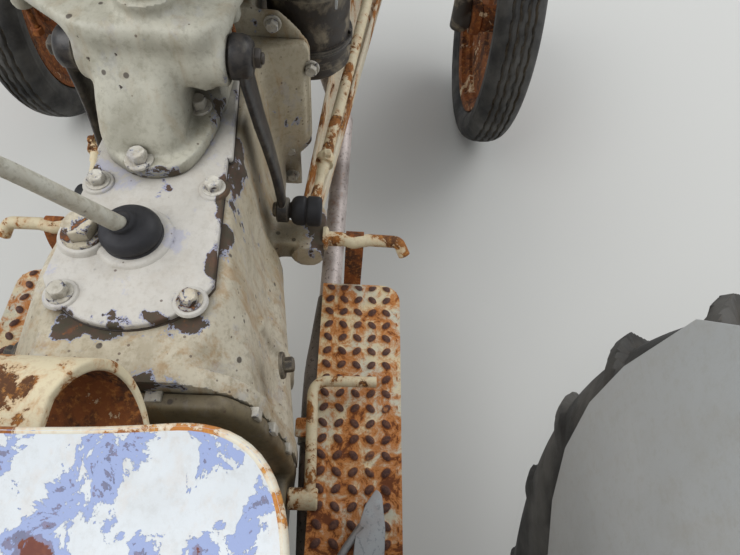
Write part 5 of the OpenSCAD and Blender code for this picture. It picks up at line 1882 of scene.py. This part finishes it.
@dataclass
class SteeringArms:
    """Drop arms, booted joints and drag links on both sides."""

    shaft: Point = (850.0, 100.0, 865.0)
    ball: Point = (850.0, 150.0, 585.0)
    tail: Point = (850.0, 174.0, 585.0)
    end: Point = (1718.0, 293.0, 608.0)
    # Way down the blade, way forward, half width and lean outward
    stations: tuple[tuple[float, float, float, float], ...] = (
        (-4, 0, 23, 0), (22, 2, 25, 0), (50, 5, 23.5, 2), (100, 9, 21.5, 7), (150, 11, 18.5, 14),
        (200, 9, 15.5, 21), (245, 4, 13.5, 26), (284, 0, 12.5, 29))

    def build(self, looks: Looks) -> None:
        """Builds each side, the right one as a mirrored copy.

        Args:
            looks: The finishes by use.
        """
        sides = ((1, Body.ARM_LEFT, Body.LINK_LEFT, "left"), (-1, Body.ARM_RIGHT, Body.LINK_RIGHT, "right"))
        arm, stud, joint, tube, front = self.arm(), self.stud(), self.joint(), self.tube(), self.front()
        for side, on_arm, on_link, name in sides:
            def put(s: Shape) -> Shape:
                """Keeps or mirrors a shape for this side."""
                return s if side > 0 else s.mirrored()
            piece(f"drop_arm_blade_{name}", put(arm), looks.iron, on_arm, [f"drop_arm_{name}"])
            piece(f"drop_arm_stud_{name}", put(stud), looks.brown, on_arm)
            piece(f"link_boot_{name}", put(joint), looks.rubber, on_link, [f"drag_link_{name}"])
            piece(f"link_tube_{name}", put(tube), looks.cream_rust, on_link)
            piece(f"link_end_{name}", put(front), looks.iron, on_link)

    def arm(self) -> Shape:
        """Forged blade: an oval section that narrows and leans outward down its stations.

        Returns:
            The left arm.
        """
        st = np.array(self.stations)
        way = spline(st, 48)
        x0, y0, z0 = self.shaft
        path = np.stack([x0 + way[:, 1], y0 + way[:, 3], z0 - way[:, 0]], 1)
        a = np.linspace(0, 2 * math.pi, 29)[:-1]
        round_ = np.stack([swell(np.cos(a), 0.7), 6.5 * swell(np.sin(a), 0.8)], 1)
        sections = np.repeat(round_[None], len(path), 0)
        sections[..., 0] *= way[:, 2][:, None]
        grid = (path[:, None] + sections[..., :1] * np.array((1.0, 0, 0))
                + sections[..., 1:] * np.array((0, 1.0, 0)))
        s = Shape().grid(grid, caps=True)
        # Clamp boss on the splined shaft, and the eye at the foot
        s.turned([[10, -15.0], [24, -15.0], [26.5, -12], [26.5, 0], [24, 7], [19, 11.5], [12, 13], [10, 13]],
                 (x0, y0, z0), LEFT, 40)
        s.turned([[8, -10], [18, -10], [20, -8], [20, 7], [18, 9], [8, 9]],
                 (self.ball[0], y0 + 29, self.ball[2]), LEFT, 36)
        return s

    def stud(self) -> Shape:
        """Nut and end of the shaft, and the nut behind the ball stud.

        Returns:
            The left arm's nuts.
        """
        s = Shape().take(hex_bolt(22, 7, 13, 2), [(self.shaft[0], self.shaft[1] + 12, self.shaft[2])],
                         facing(LEFT, 10))
        s.turned([[1, 0], [7, 0], [7, 9], [5.5, 10.5], [1, 10.5]],
                 (self.shaft[0], self.shaft[1] + 14, self.shaft[2]), LEFT, 20)
        s.take(hex_bolt(21, 5, 13, 1.5), [(self.ball[0], self.shaft[1] + 19, self.ball[2])],
               facing(-LEFT, 20))
        return s

    def joint(self) -> Shape:
        """Rubber-booted ball joint: two cups with a bead between them, turned about Y.

        Returns:
            The left joint.
        """
        profile = [[1, -13], [11, -13], [13, -9], [19, -6], [22.5, -1], [23.6, 4], [23.6, 11], [22.4, 14],
                   [20.8, 15.2], [20.8, 16.6], [23, 17.8], [24, 20], [24, 33], [23, 37], [20, 39.5],
                   [12, 40], [1, 40]]
        return Shape().turned(spline(profile, 60, 0.35), (self.ball[0], 150, self.ball[2]), LEFT, 48)

    def tube(self) -> Shape:
        """Long tube of the drag link, with a clamp near each end.

        Returns:
            The left tube.
        """
        p, q = np.array(self.tail), np.array(self.end)
        way = unit(q - p)
        t = np.array([24, 26, 60, 76, 80, 98, 101, 300, 560, 700, 790])
        r = np.array([9, 9, 7.2, 7.2, 9.6, 10.2, 10.4, 10.4, 10.4, 10.4, 10.4])
        s = Shape().bar(p + t[:, None] * way, r, 24)
        for at in (110, 770):
            s.turned([[10, -9], [15, -9], [15.6, -8], [15.6, 8], [15, 9], [10, 9]], p + at * way, way, 28)
            s.take(hex_bolt(13, 8, 8, 1.5), [p + at * way + (0, 0, 17)], facing(LEFT))
        return s

    def front(self) -> Shape:
        """Front joint above the steering arm: a forged eye with its nut.

        Returns:
            The left front joint.
        """
        q = np.array(self.end)
        way = unit(q - np.array(self.tail))
        s = Shape().bar(np.stack([q - way * t for t in (96, 90, 34, 20, 0, -14)]),
                        (8, 12, 14, 15.5, 15.5, 11), 24)
        s.turned([[1, -27.6], [8, -27.6], [9, -20], [13, -17], [16, -8], [18, -4], [18, 10], [15, 15],
                  [1, 16]], q, UP, 32)
        return s


@dataclass
class RadiusRods:
    """Tapered rods of I section from the gearbox to the front axle."""

    back: Point = (905.0, 168.0, 515.0)
    front: Point = (1776.6, 262.0, 467.0)

    def build(self, looks: Looks) -> None:
        """Builds both rods: the I section's half width grows from 17 to 48 along the rod.

        Args:
            looks: The finishes by use.
        """
        n = 60
        t = np.linspace(0, 1, n)
        path = np.array(self.back) + t[:, None] * (np.array(self.front) - np.array(self.back))
        half = 17 + 31 * np.clip(t * 1.04 - 0.02, 0, 1)
        web, h, flange = 4.0, 19.0, 8.0
        sections = []
        for w in half:
            below = [(-w, -h), (-w + flange, -h), (-w + flange + 1, -web), (w - flange - 1, -web),
                     (w - flange, -h), (w, -h)]
            above = [(u, -v) for u, v in reversed(below)]
            sections.append(rounded(below + above, 3.0, 4))
        grid = sweep(path, np.stack(sections))
        grid = grid[1:-1]
        s = Shape().grid(grid, caps=True)
        for end, w, low, high in ((grid[0].mean(0), 17.0, -5, 5), (grid[-1].mean(0), 47.0, -9, 3)):
            s.slab(rounded([(-w, -h), (w, -h), (w, h), (-w, h)], 5.0), low, high, 1.5,
                   Seat(tuple(end), (0, 1, 0), (0, 0, 1)))
        s.turned([[1, -50], [14, -49], [17, -45], [17, 6], [15, 12], [1, 12]], self.back, AHEAD, 32)
        piece("radius_rod_pair", s.both(), looks.rod, nodes=["radius_rods"])


@dataclass
class Footboards:
    """Studded steel footboards with the foot-rest bars, straps and foot levers."""

    x0: float = 300.0
    x1: float = 810.0
    y0: float = 194.0
    y1: float = 330.0
    z: float = 434.0
    pitch: float = 24.5

    def studs(self, x: np.ndarray, y: np.ndarray) -> np.ndarray:
        """Height of the slanted oval studs, from zero to one.

        It is (1 - q)^0.6, where q is the squared distance from a stud's middle in its own long
        and short axes; neighbours slant by 45 degrees in turn.

        Args:
            x: Places forward.
            y: Places outward.

        Returns:
            The height at each place.
        """
        row, col = (x - self.x0) / self.pitch, (y - self.y0 - 2) / self.pitch
        i, j = np.floor(row), np.floor(col)
        dx, dy = (row - i - 0.5) * self.pitch, (col - j - 0.5) * self.pitch
        slant = np.where((i + j) % 2 > 0, 1.0, -1.0)
        long_, short = (dx + slant * dy) / math.sqrt(2), (dx - slant * dy) / math.sqrt(2)
        q = (long_ / 9.6) ** 2 + (short / 6.2) ** 2
        keep = (y > self.y0 + 4) & (y < self.y1 - 5) & (x < self.x1 - 5)
        return np.maximum(1 - q, 0) ** 0.6 * keep

    def board(self) -> Shape:
        """The pressed plate: a fine grid whose height carries rows of slanted oval studs.

        Returns:
            The left board.
        """
        nu, nv = 300, 92
        u = np.linspace(0, 1, nu)[:, None]
        v = np.linspace(0, 1, nv)[None, :]
        x = self.x0 + (self.x1 - self.x0) * u + 0 * v
        # The front outer corner is round: the width shrinks there
        lost = np.clip(x - (self.x1 - 32), 0, 32)
        shrink = 32 - np.sqrt(np.maximum(32 ** 2 - lost ** 2, 0))
        y = self.y0 + (self.y1 - self.y0 - shrink) * v
        stud = 4.8 * self.studs(x, y)
        # Years of boots: the plate sags a little between its brackets
        sag = -3.0 * np.sin(math.pi * u) * np.sin(math.pi * v) - 1.2 * np.sin(5.1 * u + 1) * (v - 0.4)
        top = np.stack([x, y, self.z + stud + sag], -1)
        low = np.stack([x, y, self.z - 3.6 + 0.8 * stud + sag], -1)
        s = Shape().grid(top, tube=False).grid(low, tube=False)
        ring = np.concatenate([np.arange(nv), np.arange(1, nu) * nv + nv - 1,
                               (nu - 1) * nv + np.arange(nv - 2, -1, -1), np.arange(nu - 2, 0, -1) * nv])
        shell = np.stack([top.reshape(-1, 3)[ring], low.reshape(-1, 3)[ring]])
        s.grid(shell)
        lip = np.stack([np.linspace(self.x0 + 2, self.x1 - 44, 40), np.full(40, self.y1 - 3.2),
                        np.full(40, self.z - 14.0)], 1)
        lip[:, 2] += 1.2 * np.sin(np.linspace(0, 9, 40))
        s.grid(sweep(lip, rounded([(-1.6, -11), (1.6, -11), (1.6, 11), (-1.6, 11)], 1.2, 3)), caps=True)
        for x in (self.x0 + 16, self.x0 + 250):
            s.slab(rounded([(x - 15, 166), (x + 15, 166), (x + 15, 246), (x - 15, 246)], 5), 425, 430, 1.2)
        return s

    def bars(self) -> Shape:
        """Foot-rest bar with its bent tip.

        Returns:
            The left bar.
        """
        bar = bend([(838, 193, 530), (838, 226, 530), (832, 243, 530), (838, 268, 531), (838, 318, 530),
                    (825, 330, 511)], 14)
        s = Shape().bar(bar, np.interp(np.arange(len(bar)), [0, 3, len(bar) - 1], [12.5, 11, 10]), 20)
        return s.turned([[1, -1], [19, -1], [20, 1], [20, 5], [17, 8], [12, 9], [1, 9]], bar[0], LEFT, 32)

    def strap(self) -> Shape:
        """Flat strap that carries the board.

        Returns:
            The left strap.
        """
        strap = spline([(797, 0, 427), (812, 0, 429), (818, 0, 446), (820, 0, 490), (824, 0, 516),
                        (832, 0, 534), (846, 0, 538), (851, 0, 526)], 40)
        strap[:, 1] = 245
        flat = rounded([(-15, -2.6), (15, -2.6), (15, 2.6), (-15, 2.6)], 1.6, 3)
        return Shape().grid(ribbon(strap, flat[:, 0], flat[:, 1]), caps=True)

    def lever(self) -> Shape:
        """Foot lever: a round bar bent outward at its front, on a pivot barrel.

        Returns:
            The left lever.
        """
        path = bend([(440, 196, 458), (474, 196, 466), (611, 190, 467), (613, 288, 467)], 26, 12)
        s = Shape().bar(path, 8.4, 20)
        return s.turned([[1, 166], [13, 166], [15, 168], [15, 206], [13, 208], [1, 208]], (440, 0, 454),
                        LEFT, 32)

    def stay(self) -> Shape:
        """Pointed stay plate between board and mudguard, with its rod.

        Returns:
            The left stay.
        """
        plate = [(452, -289), (430, -274), (392, -262), (352, -258), (352, -300), (400, -302), (444, -297)]
        s = Shape().slab(rounded([(x, -y) for x, y in plate][::-1], 4.0, 3), 474, 478.5, 1.0)
        s.slab(rounded([(352, 262), (360, 262), (360, 298), (352, 298)], 2.0, 3), 434, 476, 1.0)
        rod = np.array([(404.0, 270, 476), (380, 252, 470), (340, 226, 458), (318, 214, 446)])
        return s.bar(rod, 5.2, 14)

    def build(self, looks: Looks) -> None:
        """Builds the boards, bars, straps, stays and levers of both sides.

        Args:
            looks: The finishes by use.
        """
        plates = piece("footboard_plates", self.board().both(), looks.board, nodes=["footboards"], smooth=50)
        flat = np.empty(len(plates.data.vertices) * 3)
        plates.data.vertices.foreach_get("co", flat)
        places = flat.reshape(-1, 3) * 1000 + np.array((MID_X, 0.0, 0.0))
        height = plates.data.attributes.new("stud", "FLOAT", "POINT")
        height.data.foreach_set("value", self.studs(places[:, 0], np.abs(places[:, 1])))
        piece("footrest_bars", self.bars().both(), looks.cream_rust)
        piece("board_straps", self.strap().both(), looks.rust)
        piece("board_stays", self.stay().both(), looks.zinc)
        piece("foot_levers", self.lever().both(), looks.cream_rust, nodes=["pedals"])


@dataclass
class Mudguards:
    """Pressed rear mudguards: a crowned top sheet with a wired lip, and a flat inner panel."""

    y0: float = 480.0
    y1: float = 807.5
    radius: float = 662.0
    axle_z: float = 612.0
    edge: float = 44.0
    sheet: float = 2.6
    # Angles about the axle at which the sheet starts and ends, from straight ahead
    start: float = 49.0
    stop: float = 152.0

    def section(self, steps: int) -> np.ndarray:
        """Outline of the sheet in radius and width: two quarter bends joined by a crowned top.

        Args:
            steps: Points on the section.

        Returns:
            The section, as (steps, 2).
        """
        a = np.linspace(0, math.pi / 2, 12)
        r, e = self.radius, self.edge
        inner = np.stack([r - e + e * np.sin(a), self.y0 + e - e * np.cos(a)], 1)
        outer = np.stack([r - e + e * np.cos(a), self.y1 - e + e * np.sin(a)], 1)
        t = np.linspace(0, 1, 14)[1:-1]
        crown = np.stack([np.full(12, r), self.y0 + e + (self.y1 - self.y0 - 2 * e) * t], 1)
        rolled = [(r - 52, self.y1), (r - 60, self.y1 - 0.5)]
        return even(np.vstack([[(r - 58, self.y0)], inner, crown, outer, rolled]), steps)

    def build(self, looks: Looks) -> None:
        """Builds both sides: the section turned about the axle, with lip, inner panel and bracket.

        Args:
            looks: The finishes by use.
        """
        a = np.radians(np.linspace(self.start, self.stop, 90))
        section = self.section(64)
        grids = []
        for thin in (0.0, self.sheet):
            mid = np.array((self.radius - 150, (self.y0 + self.y1) / 2))
            line = section + unit(mid - section) * thin
            grids.append(around(a[:, None], line[:, 0], line[:, 1]) + (0, 0, self.axle_z))
        s = Shape().grid(np.concatenate([grids[0], grids[1][:, ::-1]], 1))
        for k in (0, -1):
            s.grid(np.stack([grids[0][k], grids[1][k]]), tube=False)
        # Wired lip and the rolled front edge
        lip = around(a, self.radius - 58, self.y1 - 4.3) + (0, 0, self.axle_z)
        s.bar(lip, 4.2, 10, up=LEFT)
        for k in (0, -1):
            s.bar(grids[1][k][4:-4], 3.6, 10)
        panel = [(-440, 560), (361, 560), (361, 589), (413, 628), (455, 690), (478, 770), (482, 850),
                 (470, 960)]
        t = np.radians(np.linspace(self.start, self.stop - 2, 40))
        arc = np.stack([(self.radius - 56) * np.cos(t), self.axle_z + (self.radius - 56) * np.sin(t)], 1)
        outline = np.vstack([panel, arc])
        s.slab(outline, -self.y0 - 2.8, -self.y0, 0.8, SIDE, 2)
        for x in (-47, 47):
            s.slab(rounded([(x - 3, 470), (x + 3, 470), (x + 3, 482), (x - 3, 482)], 1), 688, 828, 1)
        s.slab(rounded([(-50, 446), (50, 446), (50, 481), (-50, 481)], 4), 688, 696, 1.5)
        piece("mudguard_sheets", s.both(), looks.guard, nodes=["mudguards"])


@dataclass
class RearTyres:
    """Rear tyres with open-centre lugs, and the wheel nuts."""

    radius: float = 612.0
    width: float = 270.0
    rim: float = 356.0
    lug: float = 26.0
    lugs: int = 20
    # Half a lug's thickness at the shoulder, and how far its outer end lies ahead
    lug_half: float = 21.0
    lead: float = 125.0
    track: float = 1321.0

    def tyre(self) -> np.ndarray:
        """Surface of a tyre as a function of the angle and the way over the section.

        The carcass is a superellipse. A lug adds up to 26 mm where the angle lies within half
        its thickness of a line that sweeps forward with the distance from the middle.

        Returns:
            A grid of points about the axle.
        """
        n, m = 560, 90
        a = np.linspace(0, 2 * math.pi, n, endpoint=False)[:, None]
        t = np.linspace(-1, 1, m)[None, :]
        # Across the outside of the section, from bead to bead
        ang = t * math.radians(152)
        half, mid_r = self.width / 2 - 3, (self.rim + self.radius - self.lug) / 2 + 6
        rise = (self.radius - self.lug - self.rim) / 2 + 4
        sy, sr = swell(np.sin(ang), 0.80), swell(np.cos(ang), 0.86)
        y = half * sy
        r = mid_r + rise * sr
        crown = np.clip(1 - (y / (half * 1.02)) ** 2, 0, 1)
        out = np.abs(y)
        pitch = 2 * math.pi / self.lugs
        side = np.where(y > 0, 0.0, 0.5)
        sweep_ = out / half * self.lead / self.radius
        phase = (a - sweep_) / pitch + side
        off = (phase - np.floor(phase) - 0.5) * pitch * self.radius
        thick = self.lug_half - 3.0 * crown
        face = np.clip((thick - np.abs(off)) / 6.0, 0, 1)
        face = face * face * (3 - 2 * face)
        over = np.clip((out - 5) / 7, 0, 1) * np.clip((r - self.rim - 132) / 30, 0, 1)
        lug = self.lug * face * over * (0.82 + 0.18 * crown)
        r2 = np.minimum(r + lug * np.maximum(sr, 0.25), self.radius - 1.2 * (1 - crown) * 12)
        y2 = y + 3.0 * face * over * sy
        inner = around(a, self.rim + np.array([4.0, 1.0, 1.0, 4.0]), (100.0, 96.0, -96.0, -100.0))
        return np.concatenate([around(a, r2, y2), inner], 1)

    def build(self, looks: Looks) -> None:
        """Builds the tread and the wheel nuts of each side.

        Args:
            looks: The finishes by use.
        """
        skin = self.tyre()
        for side, body, name in ((1, Body.REAR_LEFT, "left"), (-1, Body.REAR_RIGHT, "right")):
            at = np.array((0.0, side * self.track / 2, self.radius))
            s = Shape().grid(skin * np.array((1.0, side, 1.0)) + at, loop=True)
            piece(f"rear_tread_{name}", s, looks.tyre, body, [f"rear_tyre_{name}"])
            a = np.arange(8) * math.pi / 4
            nuts = np.vstack([around(a, 305, -6.0), around(a, 82, -56.0)])
            places = nuts * np.array((1, side, 1)) + at
            b = Shape().take(hex_bolt(22, 12, 17), places, facing((0, side, 0)))
            piece(f"rear_wheel_nuts_{name}", b, looks.bolt_rusty, body)


@dataclass
class FrontTyres:
    """Ribbed front tyres, and the wheel nuts."""

    radius: float = 345.0
    width: float = 116.0
    rim: float = 241.0
    track: float = 1236.0
    axle_x: float = 1778.0
    # Middle and half width of each groove
    grooves: Profile = ((-27, 3.2), (-9.5, 3.6), (9.5, 3.6), (27, 3.2))

    def tyre(self) -> np.ndarray:
        """Surface of a ribbed tyre: a superellipse with four grooves that waver round it.

        Returns:
            A grid of points about the axle.
        """
        n, m = 300, 100
        a = np.linspace(0, 2 * math.pi, n, endpoint=False)[:, None]
        ang = np.linspace(-1, 1, m)[None, :] * math.radians(150)
        half, rise = self.width / 2 - 0.5, (self.radius - self.rim) / 2 - 2
        sy, sr = swell(np.sin(ang), 0.82), swell(np.cos(ang), 0.80)
        y, r = half * sy + 0 * a, self.rim + 6 + rise + (rise - 4) * sr + 0 * a
        wave = 1.6 * np.sin(a * 46)
        groove = np.zeros_like(y)
        for c, w in self.grooves:
            groove = np.maximum(groove, np.clip((w - np.abs(y + wave - c)) / 1.8, 0, 1))
        top = np.clip((r - self.radius + 34) / 14, 0, 1)
        r = r - 7.5 * groove * top
        ridge = sum(h * np.clip(1 - np.abs(r - self.rim - up) / 3, 0, 1) for h, up in ((1.6, 66), (1.4, 24)))
        y = y + ridge * np.sign(y) * (np.abs(y) > half * 0.7)
        y = np.clip(y, -self.width / 2, self.width / 2)
        inner = around(a, self.rim + np.array([2.0, 1.0, 1.0, 2.0]), (36.0, 34.0, -34.0, -36.0))
        return np.concatenate([around(a, r, y), inner], 1)

    def build(self, looks: Looks) -> None:
        """Builds both tyres and the wheel nuts.

        Args:
            looks: The finishes by use.
        """
        skin = self.tyre()
        for side, body, name in ((1, Body.FRONT_LEFT, "left"), (-1, Body.FRONT_RIGHT, "right")):
            at = np.array((self.axle_x, side * self.track / 2, self.radius))
            s = Shape().grid(skin * np.array((1.0, side, 1.0)) + at, loop=True)
            piece(f"front_tread_{name}", s, looks.tyre, body, [f"front_tyre_{name}"])
            a = np.arange(6) * math.pi / 3
            places = around(a, 62, 20.0) * (1, side, 1) + at
            b = Shape().take(hex_bolt(19, 11, 13), places, facing((0, side, 0)))
            piece(f"front_wheel_nuts_{name}", b, looks.bolt_rusty, body)


@dataclass
class Exhaust:
    """Manifold, down pipe, clamp and silencer on the right."""

    radius: float = 19.0
    silencer_y: float = -204.0
    silencer_z: float = 384.0

    def build(self, looks: Looks) -> None:
        """Builds the pipe along its bends, the flanges, the clamp and the silencer.

        Args:
            looks: The finishes by use.
        """
        path = bend([(1438, -124, 838), (1438, -146, 720), (1438, -146, 446), (1231, -214, 430),
                     (780, -206, 409)], 60, 14)
        piece("exhaust_front_pipe", Shape().bar(path, self.radius, 28), looks.pipe)
        # Back pipe and silencer take the darker pipe finish: soot, and painted shade under the footboard
        back = spline([(790, -206, 409), (720, -199, 404), (640, -192, 398), (500, -195, 392),
                       (330, -203, 385)], 24)
        s = Shape().bar(back, self.radius + 2, 28)
        y, z = self.silencer_y, self.silencer_z
        s.turned([[1, 30], [30, 30], [36, 42], [36.5, 60], [36.5, 286], [36, 300], [24, 316], [19.5, 322],
                  [1, 322]], (32, y, z), AHEAD, 40)
        s.turned([[1, 20], [16, 20], [16, 62], [1, 62]], (0, y, z), AHEAD, 24)
        for x in (74, 300):
            s.turned([[36, -8], [38.4, -7], [38.4, 7], [36, 8]], (x, y, z), AHEAD, 40)
        piece("exhaust_back_pipe", s, looks.sooty_shaded, nodes=["exhaust"])
        m = Shape().bar(np.array([(x, -124, 836) for x in (1154, 1160, 1300, 1480, 1487)]),
                        (22, 26, 26, 26, 22), 28)
        for x in (1176, 1276, 1366, 1466):
            m.turned([[1, 0], [29, 0], [30, 2], [30, 9], [21, 14], [20, 46], [1, 46]], (x, -78.5, 836),
                     -LEFT, 28)
            m.take(hex_bolt(13, 10, 9), [(x - 22, -89, 836), (x + 22, -89, 836)], facing(-LEFT))
        m.turned([[1, -2], [30, -2], [31, 0], [31, 9], [20, 12], [1, 12]], (1438, -128, 800),
                 (0, 0.18, -1), 28)
        piece("exhaust_manifold", m, looks.rust)
        c = Shape()
        for x in (540, 566):
            c.turned([[21.2, -6], [24.0, -5.4], [24.0, 5.4], [21.2, 6]],
                     (x, -193 + (x - 540) * 0.03, 393.5 + (x - 540) * 0.042), (1, 0.03, 0.042), 32)
        c.take(hex_bolt(12, 8, 8), [(540, -193, 418), (566, -192, 419)], facing(LEFT))
        piece("exhaust_clamp", c, looks.bolt)


@dataclass
class AirCleaner:
    """Oil-bath air cleaner: a stepped can with a clamped bowl, turned about Z."""

    x: float = 1140.0
    y: float = -152.0

    def build(self, looks: Looks) -> None:
        """Builds the can, the dark band and the intake pipe.

        Args:
            looks: The finishes by use.
        """
        bowl = [[1, 650], [52, 650], [58, 651.5], [61, 655], [62, 660], [66, 662], [69, 664], [70, 668],
                [69, 671], [69, 676], [70, 678.5], [69, 681], [69, 688], [70, 690.5], [69, 693], [69, 701],
                [70, 704], [1, 704]]
        can = [[1, 713], [67, 713], [67, 742], [66, 744], [66, 750], [67, 752], [67, 790], [65, 796],
               [58, 799], [1, 799.5]]
        s = Shape().turned(bowl, (self.x, self.y, 0), UP, 64).turned(can, (self.x, self.y, 0), UP, 64)
        piece("cleaner_can", s, looks.brown, nodes=["air_cleaner"])
        band = Shape().turned([[60, 703.5], [72, 703.5], [73, 705], [73, 708], [71.5, 709], [71.5, 711],
                               [73, 712], [72.5, 714], [60, 714]], (self.x, self.y, 0), UP, 64)
        for a in (20, 140, 260):
            t = math.radians(a)
            band.turned([[1, -12], [3, -12], [3, 14], [1, 14]],
                        (self.x + 70.0 * math.cos(t), self.y + 70.0 * math.sin(t), 708), UP, 10)
        piece("cleaner_band", band, looks.iron)
        pipe = Shape().bar(np.array([(x, self.y + 14, 730.0) for x in (self.x + 55, 1240, 1300, 1331)]),
                           22, 28)
        for x in (1222, 1312):
            pipe.turned([[22, -5], [23.6, -4.6], [23.6, 4.6], [22, 5]], (x, self.y + 14, 730), AHEAD, 28)
        piece("cleaner_pipe", pipe, looks.rubber)


@dataclass
class HandWheel:
    """Steering wheel with a grooved rim and three spokes."""

    length: float = 306.6
    radius: float = 208.0

    def build(self, looks: Looks) -> None:
        """Builds the rim, the spokes and the hub.

        The rim's section radius is about 12 mm, with finger hollows of 1.4 mm on the underside.

        Args:
            looks: The finishes by use.
        """
        w = unit(COLUMN_WAY)
        u = LEFT
        v = np.cross(w, u)
        hub = np.array(COLUMN_BASE) + self.length * w
        centre = hub + 30 * w
        a = np.linspace(0, 2 * math.pi, 240, endpoint=False)[:, None]
        b = np.linspace(0, 2 * math.pi, 20, endpoint=False)[None, :]
        r = 11.9 - 1.4 * np.clip(-np.sin(b), 0, 1) * (0.5 + 0.5 * np.cos(a * 44))
        out = self.radius + r * np.cos(b)
        p = (centre + (out * np.cos(a))[..., None] * u + (out * np.sin(a))[..., None] * v
             + (r * np.sin(b))[..., None] * w)
        rim = Shape().grid(p, loop=True)
        piece("wheel_rim", rim, looks.rubber, Body.HAND_WHEEL, ["steering_wheel"])
        s = Shape()
        for deg in (60, 180, 300):
            t = math.radians(deg)
            way = math.cos(t) * -v + math.sin(t) * u
            path = spline([centre + 22 * way - 16 * w, centre + 80 * way - 14 * w, centre + 150 * way - 7 * w,
                           centre + (self.radius - 2) * way], 24)
            s.bar(path, 6.8, 16, up=w)
        s.turned([[1, 0], [30, 0], [32, 2], [32, 24], [28, 31], [20, 34], [1, 34.2]], hub, w, 40)
        s.take(hex_bolt(30, 12, 0), [hub + 33.5 * w], facing(w))
        s.bar(np.stack([np.array(COLUMN_BASE) - 17 * w, hub + 8 * w]), 10.8, 24)
        piece("wheel_spokes", s, looks.iron, Body.HAND_WHEEL)


def soften(node: str, finish: Material, body: Body, cell: float, rounds: int = 4) -> None:
    """Makes a cast version of a CAD node: its copy is remeshed and its edges are eased.

    Args:
        node: Node to copy, which the new piece replaces.
        finish: Its material.
        body: Body it rides on.
        cell: Size of the cells in mm.
        rounds: Passes of smoothing.
    """
    name = f"{node}_iron"
    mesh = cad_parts[node].data.copy()
    mesh.name = name
    work = bmesh.new()
    work.from_mesh(mesh)
    bmesh.ops.remove_doubles(work, verts=work.verts, dist=1e-6)
    work.to_mesh(mesh)
    work.free()
    thing = bpy.data.objects.new(name, mesh)
    bpy.context.scene.collection.objects.link(thing)
    remesh = thing.modifiers.new("cells", "REMESH")
    remesh.mode = "VOXEL"
    remesh.voxel_size = cell / 1000
    ease = thing.modifiers.new("ease", "SMOOTH")
    ease.iterations = rounds
    ease.factor = 0.5
    depth = bpy.context.evaluated_depsgraph_get()
    done = bpy.data.meshes.new_from_object(thing.evaluated_get(depth))
    thing.modifiers.clear()
    thing.data = done
    done.name = name
    tie(thing, finish, body, [node], 50.0)


class Castings:
    """CAD nodes that are shown as softened castings."""

    def build(self, looks: Looks) -> None:
        """Makes each softened casting; its row gives the node, finish, body, slot and cell.

        Args:
            looks: The finishes by use.
        """
        rows = (
            ("centre_housing", looks.soiled, Body.CHASSIS, Slot.CASTINGS, 5.0),
            ("lift_cover", looks.soiled, Body.CHASSIS, Slot.CASTINGS, 4.0),
            ("axle_housings", looks.soiled, Body.CHASSIS, Slot.CASTINGS, 4.5),
            ("engine_block", looks.cast, Body.CHASSIS, Slot.CASTINGS, 5.0),
            ("cylinder_head", looks.cast, Body.CHASSIS, Slot.SHEET, 4.5),
            ("engine_units", looks.brown, Body.CHASSIS, Slot.IRON, 2.6),
            ("front_support", looks.cast, Body.CHASSIS, Slot.CASTINGS, 4.0),
            ("front_axle", looks.brown, Body.CHASSIS, Slot.IRON, 3.6),
            ("knuckle_left", looks.brown, Body.STEER_LEFT, Slot.IRON, 3.2),
            ("knuckle_right", looks.brown, Body.STEER_RIGHT, Slot.IRON, 3.2),
            ("lift_arms", looks.brown, Body.HITCH_ARMS, Slot.IRON, 3.4),
            ("lower_links", looks.brown, Body.HITCH_LINKS, Slot.IRON, 3.4),
            ("lift_rods", looks.brown, Body.HITCH_RODS, Slot.IRON, 2.8),
        )
        for node, finish, body, slot, cell in rows:
            soften(node, finish, body, cell)


def main() -> None:
    """Builds every sub-assembly in order and reports it."""
    logging.basicConfig(level=logging.INFO, format="%(message)s")
    Studio().build()
    looks = make_looks()
    for part in (Gearbox(), Cover(), SteeringBox(), SeatUnit(), SteeringArms(), RadiusRods(), Footboards(),
                 Mudguards(), RearTyres(), FrontTyres(), Exhaust(), AirCleaner(), HandWheel(), Castings()):
        part.build(looks)
    dress(looks.sheet, "bonnet", "grille", "dash_panel", "fuel_tank")
    dress(looks.iron, "radiator")
    dress(looks.rim, "front_wheel_left", "front_wheel_right", "rear_wheel_left", "rear_wheel_right")


if __name__ == "__main__":
    main()
